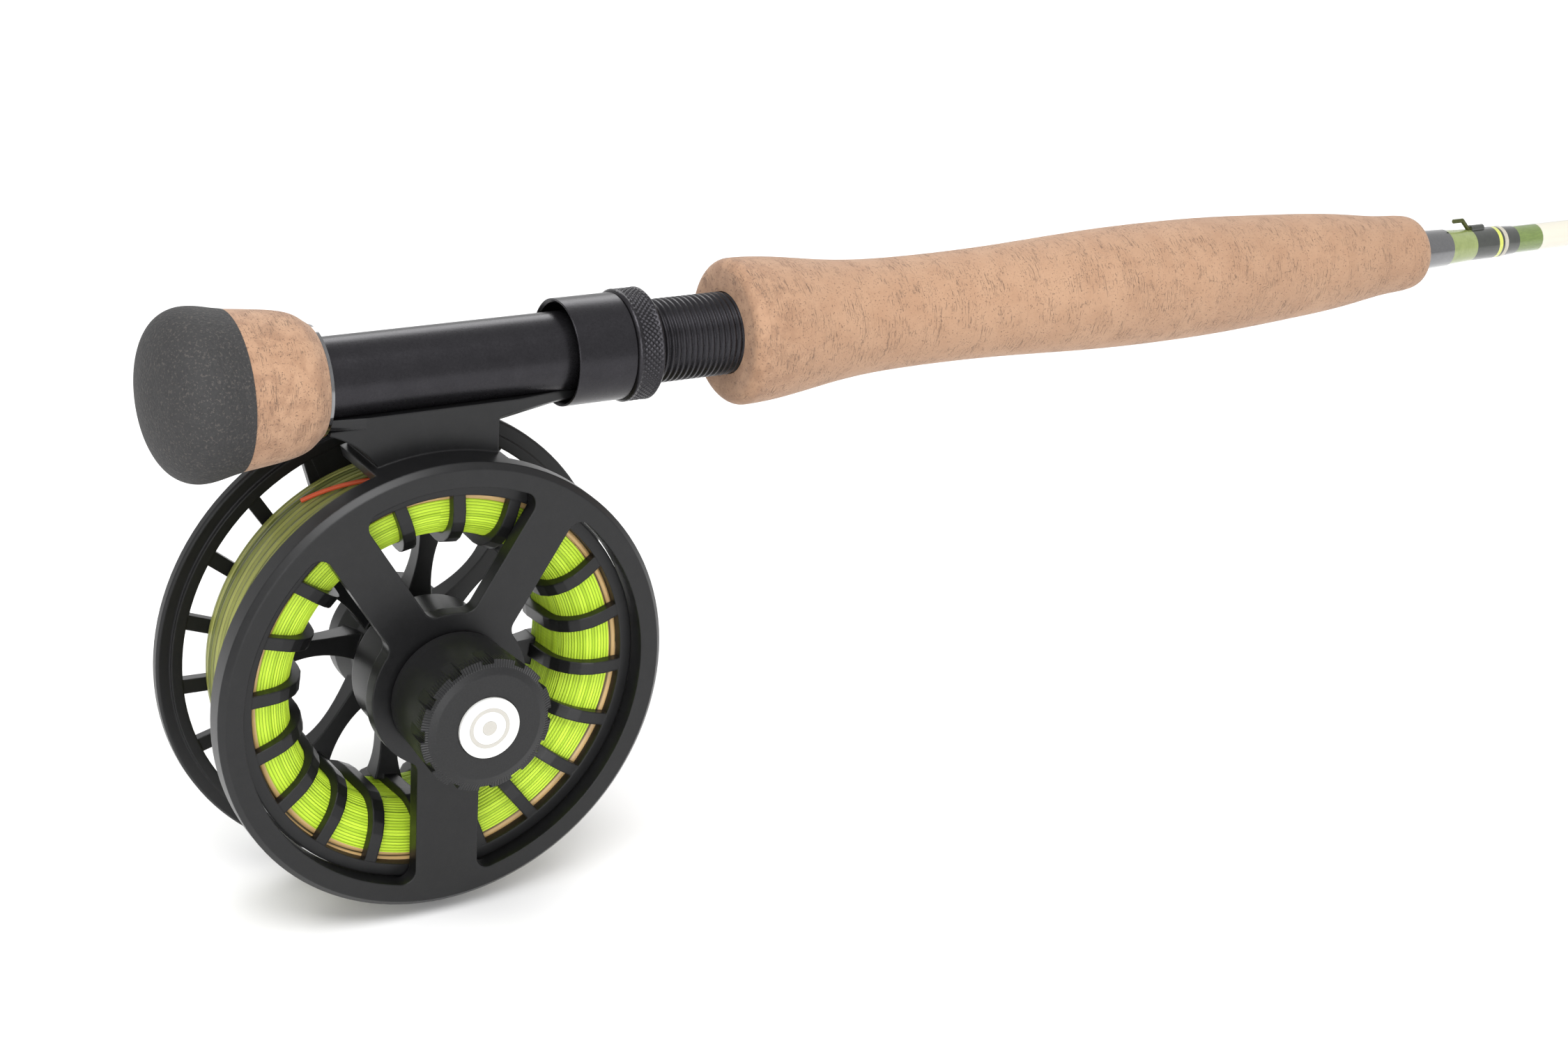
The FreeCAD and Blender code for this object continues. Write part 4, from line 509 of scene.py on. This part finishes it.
def knurled_nut():
    """The locking nut again, with its diamond knurl cut between the two chamfers."""
    low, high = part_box("locking_nut")
    r1 = (high.z - low.z) / 2
    bore = min(math.hypot(v.co.y, v.co.z) for v in nodes["locking_nut"].data.vertices)
    across, around = 44, 720
    length = high.x - low.x
    verts, faces = [], []
    for k in range(around):
        angle = 2 * math.pi * k / around
        profile = [(low.x, bore), (low.x, r1 - NUT_CHAMFER)]
        for j in range(across + 1):
            t = j / across
            x = low.x + NUT_CHAMFER + t * (length - 2 * NUT_CHAMFER)
            along = t * (length - 2 * NUT_CHAMFER) / (2 * math.pi * r1 / NUT_TEETH)
            turn = NUT_TEETH * angle / (2 * math.pi)
            ridge = min(abs(((turn + along) % 1.0) * 2 - 1), abs(((turn - along) % 1.0) * 2 - 1))
            edge = min(1.0, 6 * min(t, 1 - t))
            profile.append((x, r1 - NUT_KNURL_DEPTH * (1 - ridge) * edge))
        profile += [(high.x, r1 - NUT_CHAMFER), (high.x, bore)]
        for x, r in profile:
            verts.append((x, r * math.cos(angle), r * math.sin(angle)))
    rows = len(profile)
    for k in range(around):
        nxt = (k + 1) % around
        for i in range(rows):
            j = (i + 1) % rows
            faces.append((k * rows + i, k * rows + j, nxt * rows + j, nxt * rows + i))
    return mesh_piece("locking_nut_knurled", verts, faces, MATERIALS["black_anodised"], "nut",
                      True, None, ("locking_nut",))


knurled_nut()

for obj in nodes.values():
    if not obj.hide_render:
        obj.data.shade_smooth()
        bpy.context.view_layer.objects.active = obj
        split = obj.modifiers.new("edges", "EDGE_SPLIT")
        split.split_angle = math.radians(EDGE_ANGLE)


# ---------------------------------------------------------------- floor, light, camera

low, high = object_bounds()
floor_mesh = bpy.data.meshes.new("floor")
z, half = low.z - FLOOR_GAP, FLOOR_HALF
corners = [(-half, -half, z), (half, -half, z), (half, half, z), (-half, half, z)]
floor_mesh.from_pydata(corners, [], [(0, 1, 2, 3)])
floor = bpy.data.objects.new("floor", floor_mesh)
bpy.context.scene.collection.objects.link(floor)
ground = Shader("floor")
ground.colour(ground.mix(ground.noise(0.02), (0.86, 0.86, 0.86), (0.90, 0.90, 0.90)))
floor_mesh.materials.append(ground.done(0.85))

world = bpy.data.worlds.new("studio")
bpy.context.scene.world = world
world.use_nodes = True
world.node_tree.nodes["Background"].inputs[0].default_value = (1.0, 1.0, 1.0, 1.0)
world.node_tree.nodes["Background"].inputs[1].default_value = 0.75


def area(name, place, target, size, watts):
    light = bpy.data.lights.new(name, "AREA")
    light.shape = "RECTANGLE"
    light.size, light.size_y = size
    light.energy = watts
    obj = bpy.data.objects.new(name, light)
    obj.location = place
    obj.rotation_mode = "QUATERNION"
    obj.rotation_quaternion = (Vector(target) - Vector(place)).to_track_quat("-Z", "Y")
    bpy.context.scene.collection.objects.link(obj)


area("key", (-0.5, -0.5, 1.1), (-0.1, 0, -0.03), (1.2, 0.7), 16)
area("front", (-0.7, -1.2, 0.25), (-0.15, 0, -0.05), (0.9, 0.7), 9)
area("back", (0.5, 1.2, 0.9), (0.0, 0, 0), (1.4, 0.6), 9)

camera = bpy.data.cameras.new("camera")
camera.lens = 63.1
camera.sensor_width = 36.0
camera.clip_start = 0.01
camera.clip_end = 60.0
eye = bpy.data.objects.new("camera", camera)
bpy.context.scene.collection.objects.link(eye)
right = Vector((0.858, -0.509, 0.063)).normalized()
up = Vector((0.137, 0.346, 0.928)).normalized()
back = Vector((-0.495, -0.788, 0.366)).normalized()
place = Matrix.Translation((-0.35775, -0.4511, 0.1665))
eye.matrix_world = place @ Matrix((right, up, back)).transposed().to_4x4()
bpy.context.scene.camera = eye
bpy.context.scene.view_settings.view_transform = "Standard"
